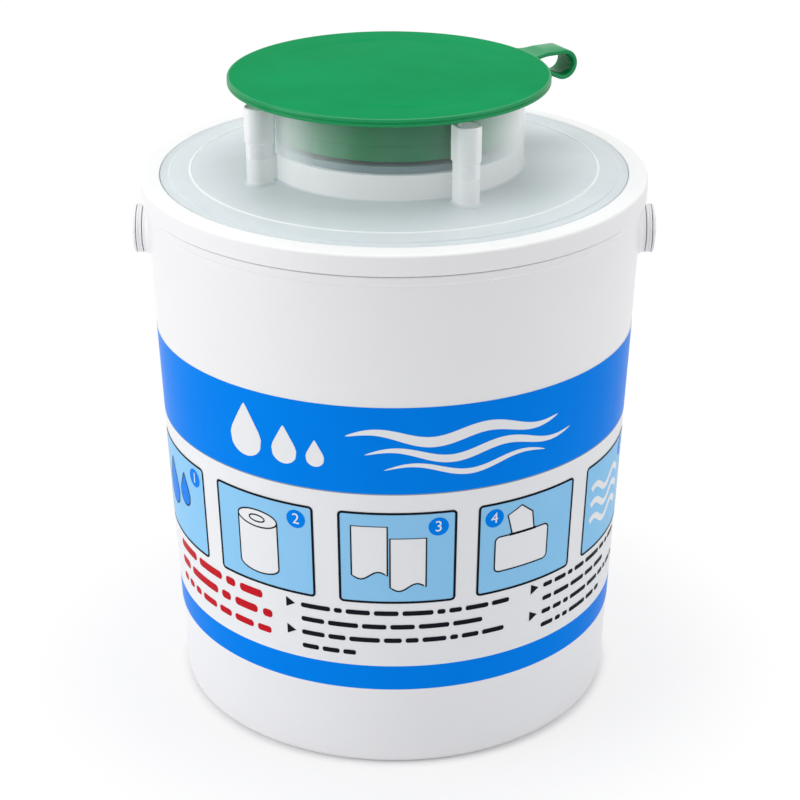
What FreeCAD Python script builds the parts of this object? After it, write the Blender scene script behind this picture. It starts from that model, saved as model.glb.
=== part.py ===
import FreeCAD, Part
import math
import os
import re
import Sketcher

# Countertop wipes dispenser: a round tapered pail that holds a roll of wipes, closed by a white
# snap ring that clamps a translucent dispensing lid, with a tethered green cap over its collar.
# Frame: origin at the centre of the pail's flat base, +Z up, front towards -Y, millimetres.

DRIVING_SIZES = (
    # Pail: a thin tapered wall, a flat base with a shallow ring recess, and a neck under the lid
    ("foot_radius", 100.2, "outside of the wall, carried down to the base"),
    ("mouth_radius", 110.1, "outside of the wall at its shoulder"),
    ("shoulder_height", 236.7, "where the wall steps in to the neck"),
    ("pail_wall", 1.8, "wall thickness"),
    ("pail_floor", 2.4, "floor thickness"),
    ("foot_round", 3.5, "round between base and wall"),
    ("recess_inner", 34.0, "middle disc inside the recess under the floor"),
    ("foot_ring_wide", 12.2, "outside of the wall to that recess"),
    ("recess_depth", 0.8, "its depth"),
    ("neck_set_in", 1.2, "how far the neck stands inside the shoulder"),
    ("neck_tall", 5.7, "shoulder to rim"),
    ("neck_wall", 1.9, "neck thickness"),
    ("neck_bead_proud", 0.8, "snap bead beyond the neck"),
    ("neck_bead_half", 1.0, "half the bead's height"),
    ("neck_bead_drop", 2.4, "rim to the bead's crest"),
    ("flange_proud", 1.0, "stiffening bead beyond the wall"),
    ("flange_tall", 4.2, "its height"),
    ("flange_arc", 122.0, "degrees of it at the front and at the back"),
    # Ears: a round pad on the wall, the bail's eye on it and a domed button that holds the eye
    ("ear_drop", 18.7, "shoulder to the pivot axis"),
    ("ear_radius", 11.0, "pad, eye and button head"),
    ("ear_proud", 2.6, "pad beyond the wall"),
    ("ear_gap", 0.3, "side play on each face of the eye"),
    ("pivot_radius", 5.0, "button shaft"),
    ("pivot_play", 0.08, "radial running clearance of the eye"),
    ("pivot_sink", 3.2, "button shaft inside the pad"),
    ("eye_thick", 2.4, "bail eye"),
    ("eye_groove", 0.5, "groove round the eye's edge"),
    ("button_edge", 0.9, "straight edge of the button head"),
    ("button_dome", 1.5, "rise of its dome"),
    # Bail: a flat half hoop with a wider grip
    ("bail_sweep_gap", 4.3, "room between the bail and all that it passes over"),
    ("bail_thick", 2.4, "hoop thickness"),
    ("bail_wide", 8.0, "hoop width"),
    ("grip_wide", 12.0, "grip width"),
    ("grip_thick", 5.0, "grip thickness"),
    ("grip_arc", 46.0, "degrees of hoop that the grip takes"),
    ("bail_lean_gap", 0.4, "grip to label where the bail leans"),
    # Label: a printed sleeve round the wall, with its seam at the back
    ("label_bottom", 39.7, "lower edge"),
    ("label_drop", 58.3, "shoulder to its upper edge"),
    ("label_thick", 0.2, "film thickness"),
    ("label_glue", 0.05, "glue between film and wall"),
    ("label_seam", 6.0, "degrees left open at the back"),
    # Lid: gasket, translucent plate and the white ring that clamps it
    ("gasket_thick", 0.8, "gasket on the rim"),
    ("gasket_inset", 0.15, "gasket inside each edge of the rim"),
    ("lid_flange", 1.3, "plate flange on the gasket"),
    ("skirt_room", 1.4, "neck to the inside of the ring's skirt"),
    ("ring_wall", 1.7, "skirt thickness"),
    ("ring_wide", 8.5, "ring seen from above"),
    ("ring_web", 1.7, "web at its outer edge"),
    ("ring_crown", 0.8, "how much higher the web is at its inner edge"),
    ("ring_round", 1.2, "outer top edge"),
    ("ring_inner_round", 0.6, "inner top edge"),
    ("ring_foot_gap", 0.6, "shoulder to the foot of the skirt"),
    ("snap_gap", 0.3, "ring bead to neck bead"),
    ("ring_bead_tall", 1.6, "height of the ring's bead"),
    ("seam_gap", 0.3, "ring to the plate's raised part"),
    ("band_wide", 3.8, "flat band along the plate's edge"),
    ("band_rise", 2.4, "band above the flange"),
    ("dome_step", 0.7, "step from the band to the dome"),
    ("crown_rise", 2.1, "dome's rise to the collar"),
    ("plate_thick", 1.5, "plate"),
    ("rib_inset", 9.4, "raised circle inside the band"),
    ("rib_wide", 0.9, "its width"),
    ("rib_tall", 0.35, "its height"),
    ("seal_gap", 0.4, "seal wall to the inside of the neck"),
    ("seal_wall", 1.3, "seal wall"),
    ("seal_deep", 7.2, "seal wall below the flange"),
    # Collar, with the ledge that carries the dispensing insert
    ("collar_radius", 57.2, "outside of the collar"),
    ("collar_wall", 1.5, "collar thickness"),
    ("collar_tall", 38.1, "collar above the dome"),
    ("ledge_rise", 12.0, "ledge above the dome"),
    ("ledge_wide", 1.5, "ledge"),
    ("ledge_thick", 1.8, "ledge"),
    # Posts: hollow bosses beside the collar. One takes the strap's peg, and the others stand on stems
    ("post_count", 4.0, "bosses round the collar"),
    ("post_turn", 28.0, "degrees from +X to the boss with the peg"),
    ("post_out", 8.6, "socket axis outside the collar"),
    ("post_radius", 5.5, "upper part with the socket"),
    ("stem_radius", 5.0, "lower part"),
    ("post_web", 0.8, "half the web between a post and the collar"),
    ("socket_radius", 4.5, "socket"),
    ("socket_deep", 14.0, "socket"),
    ("socket_floor_thick", 1.5, "floor of the socket"),
    # Dispensing insert: a rim with a thin web, cut by a hole and a star of slits
    ("insert_gap", 0.1, "insert to collar"),
    ("insert_rim_tall", 3.1, "rim"),
    ("insert_rim_wide", 3.0, "rim"),
    ("insert_web", 1.2, "web"),
    ("insert_web_rise", 0.9, "web above the ledge"),
    ("insert_hole", 5.0, "radius of the hole for the wipe"),
    ("slit_long", 15.0, "slit beyond the hole"),
    ("slit_wide", 0.9, "slit"),
    ("slit_count", 8.0, "slits"),
    # Cap: an eccentric disc with a lip, over a hollow plug
    ("cap_seat_gap", 0.3, "disc above the collar's edge"),
    ("cap_radius", 70.5, "disc"),
    ("cap_shift", 2.4, "disc's centre away from the strap, as a finger lift"),
    ("cap_thick", 1.8, "disc"),
    ("lip_tall", 3.4, "disc top to the foot of the lip"),
    ("lip_wide", 1.6, "lip"),
    ("lip_groove", 0.35, "groove between the lip's two beads"),
    ("lip_round", 0.6, "edges of the lip"),
    ("sink_deep", 0.15, "faint ring that shows above the plug"),
    ("sink_wide", 0.8, "half its width"),
    ("plug_gap", 0.8, "plug bead to the collar"),
    ("plug_relief", 0.3, "upper plug inside the bead"),
    ("plug_taper", 0.9, "plug's foot inside the bead"),
    ("plug_wall", 1.6, "plug thickness"),
    ("plug_tall", 22.0, "plug below the disc"),
    ("plug_bead_drop", 14.6, "disc to the bead's crest"),
    ("plug_bead_half", 1.0, "half the bead's height"),
    # Strap: a flat band from the disc, round a loop and back to the peg
    ("strap_wide", 14.0, "strap"),
    ("strap_thick", 1.9, "strap"),
    ("strap_stand_off", 15.1, "loop axis outside the disc"),
    ("loop_radius", 6.8, "outside of the loop"),
    ("loop_rise", 0.7, "top of the loop above the disc"),
    ("tab_long", 7.4, "stiff tab between disc and loop"),
    ("strap_slope", 25.0, "degrees by which the lower leg climbs"),
    ("lip_room", 1.1, "peg head to the lip above it"),
    ("anchor_gap", 0.4, "strap to the outside of its post"),
    ("peg_gap", 0.15, "peg to socket"),
    ("peg_tip_gap", 0.6, "peg above the socket's floor"),
    # Wipes: the roll on the floor and the end that is threaded through the insert
    ("roll_gap", 4.9, "roll to the round of the pail's foot"),
    ("roll_core", 24.0, "radius of the hollow that the wipes are pulled from"),
    ("roll_headroom", 33.6, "roll to the foot of the lid's seal wall"),
    ("tail_dip", 12.0, "loose end below the top of the roll"),
    ("tail_foot", 9.0, "radius of the loose wipe below"),
    ("tail_gap", 0.5, "wipe to the edge of the hole"),
    ("tail_neck", 4.0, "straight part on each side of the insert"),
    ("tail_tuft", 15.0, "radius of the tuft above the insert"),
    ("tail_tuft_share", 0.62, "how far up the tuft is widest"),
    ("tail_tip", 6.0, "radius of its top"),
    ("tail_top_gap", 4.0, "tuft below the disc"),
)

DERIVED_SIZES = (
    ("wall_slope", "(mouth_radius - foot_radius) / shoulder_height"),
    ("recess_outer", "foot_radius - foot_ring_wide"),
    ("rim_height", "shoulder_height + neck_tall"),
    ("neck_radius", "mouth_radius - neck_set_in"),
    ("neck_inner", "neck_radius - neck_wall"),
    ("neck_bead_height", "rim_height - neck_bead_drop"),
    ("ear_height", "shoulder_height - ear_drop"),
    ("ear_wall_radius", "foot_radius + wall_slope * ear_height"),
    ("ear_face", "ear_wall_radius + ear_proud"),
    ("eye_inner_face", "ear_face + ear_gap"),
    ("eye_outer_face", "eye_inner_face + eye_thick"),
    ("head_inner_face", "eye_outer_face + ear_gap"),
    ("eye_bore", "pivot_radius + pivot_play"),
    ("label_top", "shoulder_height - label_drop"),
    ("gasket_top", "rim_height + gasket_thick"),
    ("flange_top", "gasket_top + lid_flange"),
    ("skirt_inner", "neck_radius + skirt_room"),
    ("skirt_foot", "shoulder_height + ring_foot_gap"),
    ("ring_radius", "skirt_inner + ring_wall"),
    ("ring_inner", "ring_radius - ring_wide"),
    ("ring_bead_radius", "neck_radius + neck_bead_proud + snap_gap"),
    ("ring_outer_top", "flange_top + ring_web"),
    ("ring_inner_top", "ring_outer_top + ring_crown"),
    ("plate_edge", "ring_inner - seam_gap"),
    ("band_inner", "plate_edge - band_wide"),
    ("band_top", "flange_top + band_rise"),
    ("dome_edge_top", "band_top + dome_step"),
    ("crown_height", "dome_edge_top + crown_rise"),
    ("rib_radius", "band_inner - rib_inset"),
    ("rib_foot", "dome_edge_top + crown_rise * rib_inset / (band_inner - collar_radius)"),
    ("seal_outer", "neck_inner - seal_gap"),
    ("seal_inner", "seal_outer - seal_wall"),
    ("seal_foot", "gasket_top - seal_deep"),
    ("collar_inner", "collar_radius - collar_wall"),
    ("collar_top", "crown_height + collar_tall"),
    ("ledge_top", "crown_height + ledge_rise"),
    ("insert_radius", "collar_inner - insert_gap"),
    ("insert_rim_inner", "insert_radius - insert_rim_wide"),
    ("insert_rim_top", "ledge_top + insert_rim_tall"),
    ("web_foot", "ledge_top + insert_web_rise"),
    ("web_top", "web_foot + insert_web"),
    ("cap_underside", "collar_top + cap_seat_gap"),
    ("cap_top", "cap_underside + cap_thick"),
    ("cap_middle", "cap_underside + cap_thick / 2"),
    ("lip_foot", "cap_top - lip_tall"),
    ("plug_radius", "collar_inner - plug_gap"),
    ("plug_upper", "plug_radius - plug_relief"),
    ("plug_lower", "plug_radius - plug_taper"),
    ("plug_foot", "cap_underside - plug_tall"),
    ("plug_bead_height", "cap_underside - plug_bead_drop"),
    ("cap_near_edge", "cap_radius - cap_shift"),
    ("tab_end", "cap_near_edge + tab_long"),
    ("post_distance", "collar_radius + post_out"),
    ("post_top", "lip_foot - lip_room - strap_thick"),
    ("socket_floor", "post_top - socket_deep"),
    ("anchor_inner", "post_distance + post_radius + anchor_gap"),
    ("anchor_outer", "anchor_inner + strap_thick"),
    ("loop_inner", "loop_radius - strap_thick"),
    ("hinge_distance", "max(cap_near_edge + strap_stand_off; anchor_outer + loop_radius)"),
    ("hinge_height", "cap_top + loop_rise - loop_radius"),
    ("loop_top", "hinge_height + loop_radius"),
    ("turn_off_outer", "hinge_distance - loop_radius * sin(strap_slope)"),
    ("turn_off_inner", "hinge_distance - loop_inner * sin(strap_slope)"),
    ("strap_end", "(turn_off_outer + anchor_outer) / 2"),
    ("ring_reach", "sqrt(ring_radius ^ 2 + (ring_outer_top - ear_height) ^ 2)"),
    ("cap_reach", "sqrt((cap_radius + cap_shift) ^ 2 + (cap_top - ear_height) ^ 2)"),
    ("axis_reach", "sqrt(hinge_distance ^ 2 + (hinge_height - ear_height) ^ 2)"),
    ("loop_reach", "sqrt((axis_reach + loop_radius) ^ 2 + (strap_wide / 2) ^ 2)"),
    ("bail_inner", "max(ring_reach; cap_reach; loop_reach) + bail_sweep_gap"),
    ("bail_outer", "bail_inner + bail_thick"),
    ("bail_start", "(pivot_radius + ear_radius) / 2"),
    ("bail_straight", "ear_radius + bail_thick / 2"),
    ("bail_joins", "bail_straight + ear_radius"),
    ("lean_run", "bail_inner + wall_slope * grip_wide / 2"),
    ("lean_rise", "wall_slope * bail_inner - grip_wide / 2"),
    ("lean_wall", "ear_wall_radius + label_glue + label_thick + bail_lean_gap"),
    ("bail_lean", "atan2(lean_rise; lean_run) + acos(lean_wall / sqrt(lean_run ^ 2 + lean_rise ^ 2))"),
    ("roll_radius", "foot_radius - pail_wall - foot_round - roll_gap"),
    ("roll_top", "seal_foot - roll_headroom"),
    ("roll_tall", "roll_top - pail_floor"),
    ("tail_thin", "insert_hole - tail_gap"),
    ("tail_bottom", "roll_top - tail_dip"),
    ("tail_top", "cap_underside - tail_top_gap"),
)

ALIASES = {row[0] for row in DRIVING_SIZES} | {row[0] for row in DERIVED_SIZES}

doc = FreeCAD.newDocument("wipes_dispenser")


def fill_sheet():
    """The driving sizes as plain numbers, and below them what follows from those."""
    sheet = doc.addObject("Spreadsheet::Sheet", "Sizes")
    for row, (alias, value, meaning) in enumerate(DRIVING_SIZES, start=1):
        sheet.set(f"A{row}", alias)
        sheet.set(f"B{row}", str(value))
        sheet.setAlias(f"B{row}", alias)
        sheet.set(f"C{row}", meaning)
    for row, (alias, rule) in enumerate(DERIVED_SIZES, start=len(DRIVING_SIZES) + 1):
        sheet.set(f"A{row}", alias)
        sheet.set(f"B{row}", "=" + rule)
        sheet.setAlias(f"B{row}", alias)
    doc.recompute()
    return sheet


sizes = fill_sheet()


def formula(text):
    """Names of sizes in the text, pointed at the sheet."""
    return re.sub(r"[a-z_]+", lambda word: "Sizes." + word[0] if word[0] in ALIASES else word[0], text)


def value_of(text):
    """The number that a formula gives now."""
    result = sizes.evalExpression(formula(text))
    return float(result.Value) if hasattr(result, "Value") else float(result)


def new_body(node):
    """One sub-part, made as a body of its own."""
    body = doc.addObject("PartDesign::Body", node)
    body.Label = node
    return body


def origin_plane(body, role):
    return next(item for item in body.Origin.OriginFeatures if item.Role == role)


def new_sketch(body, name, role, lift="0", shift="0", turn="0"):
    """A sketch on one of the body's own planes, lifted off it, shifted along it and turned in it."""
    sketch = body.newObject("Sketcher::SketchObject", name)
    sketch.AttachmentSupport = [(origin_plane(body, role), "")]
    sketch.MapMode = "FlatFace"
    turned = FreeCAD.Rotation(FreeCAD.Vector(0, 0, 1), value_of(turn))
    sketch.AttachmentOffset = FreeCAD.Placement(FreeCAD.Vector(), turned)
    if turn != "0":
        sketch.setExpression("AttachmentOffset.Rotation.Angle", formula(turn))
    sketch.setExpression("AttachmentOffset.Base.z", formula(lift))
    sketch.setExpression("AttachmentOffset.Base.x", formula(shift))
    return sketch


def pin_coordinate(sketch, kind, line, end, text):
    """Holds one end of a line at a distance from the sketch's origin, or on its axis."""
    if text == "0":
        axis = -2 if kind == "DistanceX" else -1
        sketch.addConstraint(Sketcher.Constraint("PointOnObject", line, end, axis))
        return
    index = sketch.addConstraint(Sketcher.Constraint(kind, -1, 1, line, end, value_of(text)))
    sketch.setExpression(f"Constraints[{index}]", formula(text))


def arc_between(start, end, radius, turn):
    """The smaller arc between two points; turn is 1 to bend left and -1 to bend right."""
    chord = end - start
    middle = (start + end) * 0.5
    across = FreeCAD.Vector(-chord.y, chord.x, 0).normalize()
    inset = math.sqrt(max(radius ** 2 - (chord.Length / 2) ** 2, 0))
    centre = middle + across * inset * turn
    first, last = (start, end) if turn > 0 else (end, start)
    angles = [math.atan2(point.y - centre.y, point.x - centre.x) for point in (first, last)]
    circle = Part.Circle(centre, FreeCAD.Vector(0, 0, 1), radius)
    return Part.ArcOfCircle(circle, angles[0], angles[1])


def add_outline(sketch, corners):
    """A closed outline. A corner is (across, up), or with (radius, turn) for an arc to the next one."""
    points = [FreeCAD.Vector(value_of(c[0]), value_of(c[1]), 0) for c in corners]
    ends = []
    for index, corner in enumerate(corners):
        start = points[index]
        stop = points[(index + 1) % len(points)]
        if len(corner) == 2:
            line = sketch.addGeometry(Part.LineSegment(start, stop), False)
            ends.append((line, 1, 2))
            continue
        radius, turn = corner[2]
        line = sketch.addGeometry(arc_between(start, stop, value_of(radius), turn), False)
        ends.append((line, 1, 2) if turn > 0 else (line, 2, 1))
    for index, (line, _, tail) in enumerate(ends):
        following, head, _ = ends[(index + 1) % len(ends)]
        sketch.addConstraint(Sketcher.Constraint("Coincident", line, tail, following, head))
    for (line, head, _), corner in zip(ends, corners):
        pin_coordinate(sketch, "DistanceX", line, head, corner[0])
        pin_coordinate(sketch, "DistanceY", line, head, corner[1])
        if len(corner) == 3:
            index = sketch.addConstraint(Sketcher.Constraint("Radius", line, value_of(corner[2][0])))
            sketch.setExpression(f"Constraints[{index}]", formula(corner[2][0]))
    return sketch


def add_circle(sketch, radius, across="0", up="0"):
    centre = FreeCAD.Vector(value_of(across), value_of(up), 0)
    circle = Part.Circle(centre, FreeCAD.Vector(0, 0, 1), value_of(radius))
    line = sketch.addGeometry(circle, False)
    pin_coordinate(sketch, "DistanceX", line, 3, across)
    pin_coordinate(sketch, "DistanceY", line, 3, up)
    index = sketch.addConstraint(Sketcher.Constraint("Radius", line, value_of(radius)))
    sketch.setExpression(f"Constraints[{index}]", formula(radius))
    return sketch


def add_feature(body, kind, name, sketch):
    feature = body.newObject("PartDesign::" + kind, name)
    feature.Profile = sketch
    sketch.Visibility = False
    return feature


def revolve(body, name, sketch, angle="360", kind="Revolution", axis="V_Axis"):
    """Turns a sketch about one of its axes, by the same angle to each side of it."""
    feature = add_feature(body, kind, name, sketch)
    feature.ReferenceAxis = (sketch, [axis])
    feature.Midplane = True
    feature.setExpression("Angle", formula(angle))
    doc.recompute()
    return feature


def pad(body, name, sketch, length, both_sides=False):
    feature = add_feature(body, "Pad", name, sketch)
    feature.SideType = "Symmetric" if both_sides else "One side"
    feature.setExpression("Length", formula(length))
    doc.recompute()
    return feature


def pocket(body, name, sketch, length):
    """Cuts downwards from the sketch, and checks that it took something away."""
    before = body.Shape.Volume
    feature = add_feature(body, "Pocket", name, sketch)
    feature.setExpression("Length", formula(length))
    doc.recompute()
    if body.Shape.Volume >= before:
        raise RuntimeError(f"{name} cuts nothing")
    return feature


def ring_of(body, name, features, count, sweep="360"):
    """The features again, evenly round the body's Z axis, or over a part of the turn."""
    feature = body.newObject("PartDesign::PolarPattern", name)
    feature.Originals = features
    feature.Axis = (next(o for o in body.Origin.OriginFeatures if o.Role == "Z_Axis"), [""])
    feature.setExpression("Angle", formula(sweep))
    feature.setExpression("Occurrences", formula(count))
    body.Tip = feature
    doc.recompute()
    return feature


def both_ends(body, name, features):
    """The features again, mirrored to the other side of the body."""
    feature = body.newObject("PartDesign::Mirrored", name)
    feature.Originals = features
    feature.MirrorPlane = (origin_plane(body, "YZ_Plane"), [""])
    body.Tip = feature
    doc.recompute()
    return feature


def turn_about_z(item, angle):
    item.Placement.Rotation = FreeCAD.Rotation(FreeCAD.Vector(0, 0, 1), value_of(angle))
    item.setExpression("Placement.Rotation.Angle", formula(angle))


def wall_radius(height):
    """Outside of the pail's tapered wall at a height."""
    return f"foot_radius + wall_slope * ({height})"


def make_pail():
    """Moulded pail with its base recess, neck, snap bead, stiffening beads and two ears."""
    body = new_body("pail")
    inner_foot = "pail_floor + foot_round"
    inner_step = "shoulder_height - 2 * neck_wall"
    profile = new_sketch(body, "pail_profile", "XZ_Plane")
    add_outline(profile, [
        ("0", "0"),
        ("recess_inner", "0"),
        ("recess_inner", "recess_depth"),
        ("recess_outer", "recess_depth"),
        ("recess_outer", "0"),
        ("foot_radius - foot_round", "0", ("foot_round", 1)),
        (wall_radius("foot_round"), "foot_round"),
        ("mouth_radius", "shoulder_height"),
        ("neck_radius", "shoulder_height"),
        ("neck_radius", "neck_bead_height - neck_bead_half"),
        ("neck_radius + neck_bead_proud", "neck_bead_height"),
        ("neck_radius", "neck_bead_height + neck_bead_half"),
        ("neck_radius", "rim_height"),
        ("neck_inner", "rim_height"),
        ("neck_inner", "shoulder_height - neck_wall"),
        (wall_radius(inner_step) + " - pail_wall", inner_step),
        (wall_radius(inner_foot) + " - pail_wall", inner_foot, ("foot_round", -1)),
        (wall_radius(inner_foot) + " - pail_wall - foot_round", "pail_floor"),
        ("0", "pail_floor"),
    ])
    revolve(body, "pail_wall_and_floor", profile)

    bead = new_sketch(body, "flange_profile", "YZ_Plane")
    bead_root = "mouth_radius - pail_wall / 2"
    add_outline(bead, [
        (bead_root, "shoulder_height - flange_tall"),
        ("mouth_radius + flange_proud", "shoulder_height - flange_tall + flange_proud"),
        ("mouth_radius + flange_proud", "shoulder_height"),
        (bead_root, "shoulder_height"),
    ])
    back_bead = revolve(body, "flange_back", bead, angle="flange_arc")
    ring_of(body, "flange_front", [back_bead], "2")

    ear_root = "ear_wall_radius - pail_wall / 2"
    pad_circle = new_sketch(body, "ear_circle", "YZ_Plane", lift=ear_root)
    add_circle(pad_circle, "ear_radius", up="ear_height")
    ear = pad(body, "ear_pad", pad_circle, f"ear_face - ({ear_root})")
    bore_circle = new_sketch(body, "ear_bore_circle", "YZ_Plane", lift="ear_face")
    add_circle(bore_circle, "pivot_radius", up="ear_height")
    bore = pocket(body, "ear_bore", bore_circle, "pivot_sink")
    both_ends(body, "left_ear", [ear, bore])
    return body


def make_label():
    """Printed sleeve on the wall; its profile is turned to face the front."""
    body = new_body("label")
    turn_about_z(body, "0 - 90")
    profile = new_sketch(body, "label_profile", "XZ_Plane")
    inside = " + label_glue"
    outside = " + label_glue + label_thick"
    add_outline(profile, [
        (wall_radius("label_bottom") + inside, "label_bottom"),
        (wall_radius("label_bottom") + outside, "label_bottom"),
        (wall_radius("label_top") + outside, "label_top"),
        (wall_radius("label_top") + inside, "label_top"),
    ])
    revolve(body, "label_sleeve", profile, angle="360 - label_seam")
    return body


def make_lid_ring():
    """White snap ring: crowned web over the plate, skirt over the neck and a bead under its bead."""
    body = new_body("lid_ring")
    profile = new_sketch(body, "ring_profile", "XZ_Plane")
    add_outline(profile, [
        ("ring_bead_radius", "skirt_foot"),
        ("ring_radius", "skirt_foot"),
        ("ring_radius", "ring_outer_top - ring_round", ("ring_round", 1)),
        ("ring_radius - ring_round", "ring_outer_top"),
        ("ring_inner + ring_inner_round", "ring_inner_top", ("ring_inner_round", 1)),
        ("ring_inner", "ring_inner_top - ring_inner_round"),
        ("ring_inner", "flange_top"),
        ("skirt_inner", "flange_top"),
        ("skirt_inner", "skirt_foot + ring_bead_tall"),
        ("ring_bead_radius", "skirt_foot + ring_bead_tall / 2"),
    ])
    revolve(body, "ring_turned", profile)
    return body


def tube(node, outer, inner, height, base):
    """A plain ring: one cylinder cut out of another."""
    wall = doc.addObject("Part::Cylinder", node + "_outside")
    hole = doc.addObject("Part::Cylinder", node + "_hole")
    for cylinder, radius in ((wall, outer), (hole, inner)):
        cylinder.setExpression("Radius", formula(radius))
        cylinder.setExpression("Height", formula(height))
    cut = doc.addObject("Part::Cut", node)
    cut.Label = node
    cut.Base = wall
    cut.Tool = hole
    cut.setExpression("Placement.Base.z", formula(base))
    doc.recompute()
    return cut


def half_round_post(sketch, radius):
    """Outline of a boss: a thin web from inside the collar's wall, a flat back and a half round front."""
    collar_middle = "collar_radius - collar_wall / 2"
    back = "post_distance - " + radius
    add_outline(sketch, [
        (collar_middle, "0 - post_web"),
        (back, "0 - post_web"),
        (back, "0 - " + radius),
        ("post_distance", "0 - " + radius, (radius, 1)),
        ("post_distance + " + radius, "0", (radius, 1)),
        ("post_distance", radius),
        (back, radius),
        (back, "post_web"),
        (collar_middle, "post_web"),
    ])


def make_lid_plate():
    """Translucent plate with its seal wall, dome, collar and insert ledge, and the posts."""
    body = new_body("lid_plate")
    turn_about_z(body, "post_turn")
    under_band = "plate_edge - plate_thick"
    ledge_inner = "collar_inner - ledge_wide"
    profile = new_sketch(body, "plate_profile", "XZ_Plane")
    add_outline(profile, [
        ("seal_inner", "seal_foot"),
        ("seal_outer", "seal_foot"),
        ("seal_outer", "gasket_top"),
        ("neck_radius", "gasket_top"),
        ("neck_radius", "flange_top"),
        ("plate_edge", "flange_top"),
        ("plate_edge", "band_top"),
        ("band_inner", "band_top"),
        ("band_inner - seam_gap", "dome_edge_top"),
        ("rib_radius + rib_wide / 2", "rib_foot"),
        ("rib_radius + rib_wide / 2", "rib_foot + rib_tall"),
        ("rib_radius - rib_wide / 2", "rib_foot + rib_tall"),
        ("rib_radius - rib_wide / 2", "rib_foot"),
        ("collar_radius", "crown_height"),
        ("collar_radius", "collar_top"),
        ("collar_inner", "collar_top"),
        ("collar_inner", "ledge_top"),
        (ledge_inner, "ledge_top"),
        (ledge_inner, "ledge_top - ledge_thick"),
        ("collar_inner", "ledge_top - ledge_thick - ledge_wide"),
        ("collar_inner", "crown_height - plate_thick"),
        ("band_inner", "dome_edge_top - plate_thick"),
        (under_band, "band_top - plate_thick"),
        (under_band, "gasket_top"),
        ("seal_inner", "gasket_top"),
    ])
    revolve(body, "plate_and_collar", profile)

    stem_base = "crown_height - plate_thick"
    stem_outline = new_sketch(body, "stem_outline", "XY_Plane", lift=stem_base, turn="360 / post_count")
    half_round_post(stem_outline, "stem_radius")
    stem = pad(body, "post_stem", stem_outline, f"socket_floor - ({stem_base})")
    ring_of(body, "free_stems", [stem], "post_count - 1", sweep="360 * (post_count - 2) / post_count")
    head_base = "socket_floor - socket_floor_thick"
    head_outline = new_sketch(body, "post_outline", "XY_Plane", lift=head_base)
    half_round_post(head_outline, "post_radius")
    head = pad(body, "post_head", head_outline, f"post_top - ({head_base})")
    socket_circle = new_sketch(body, "socket_circle", "XY_Plane", lift="post_top")
    add_circle(socket_circle, "socket_radius", across="post_distance")
    socket = pocket(body, "post_socket", socket_circle, "socket_deep")
    ring_of(body, "all_posts", [head, socket], "post_count")
    return body


def make_insert():
    """Dispensing insert: rim on the ledge, thin web, centre hole and star of slits."""
    body = new_body("dispensing_insert")
    profile = new_sketch(body, "insert_profile", "XZ_Plane")
    add_outline(profile, [
        ("0", "web_foot"),
        ("insert_rim_inner", "web_foot"),
        ("insert_rim_inner", "ledge_top"),
        ("insert_radius", "ledge_top"),
        ("insert_radius", "insert_rim_top"),
        ("insert_rim_inner", "insert_rim_top"),
        ("insert_rim_inner", "web_top"),
        ("0", "web_top"),
    ])
    revolve(body, "insert_turned", profile)
    hole_circle = new_sketch(body, "hole_circle", "XY_Plane", lift="web_top")
    add_circle(hole_circle, "insert_hole")
    pocket(body, "wipe_hole", hole_circle, "insert_web + web_foot - ledge_top")
    slit_outline = new_sketch(body, "slit_outline", "XY_Plane", lift="web_top")
    add_outline(slit_outline, [
        ("insert_hole / 2", "0 - slit_wide / 2"),
        ("insert_hole + slit_long", "0 - slit_wide / 2"),
        ("insert_hole + slit_long", "slit_wide / 2"),
        ("insert_hole / 2", "slit_wide / 2"),
    ])
    slit = pocket(body, "slit", slit_outline, "insert_web + web_foot - ledge_top")
    ring_of(body, "star_of_slits", [slit], "slit_count")
    return body


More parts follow.
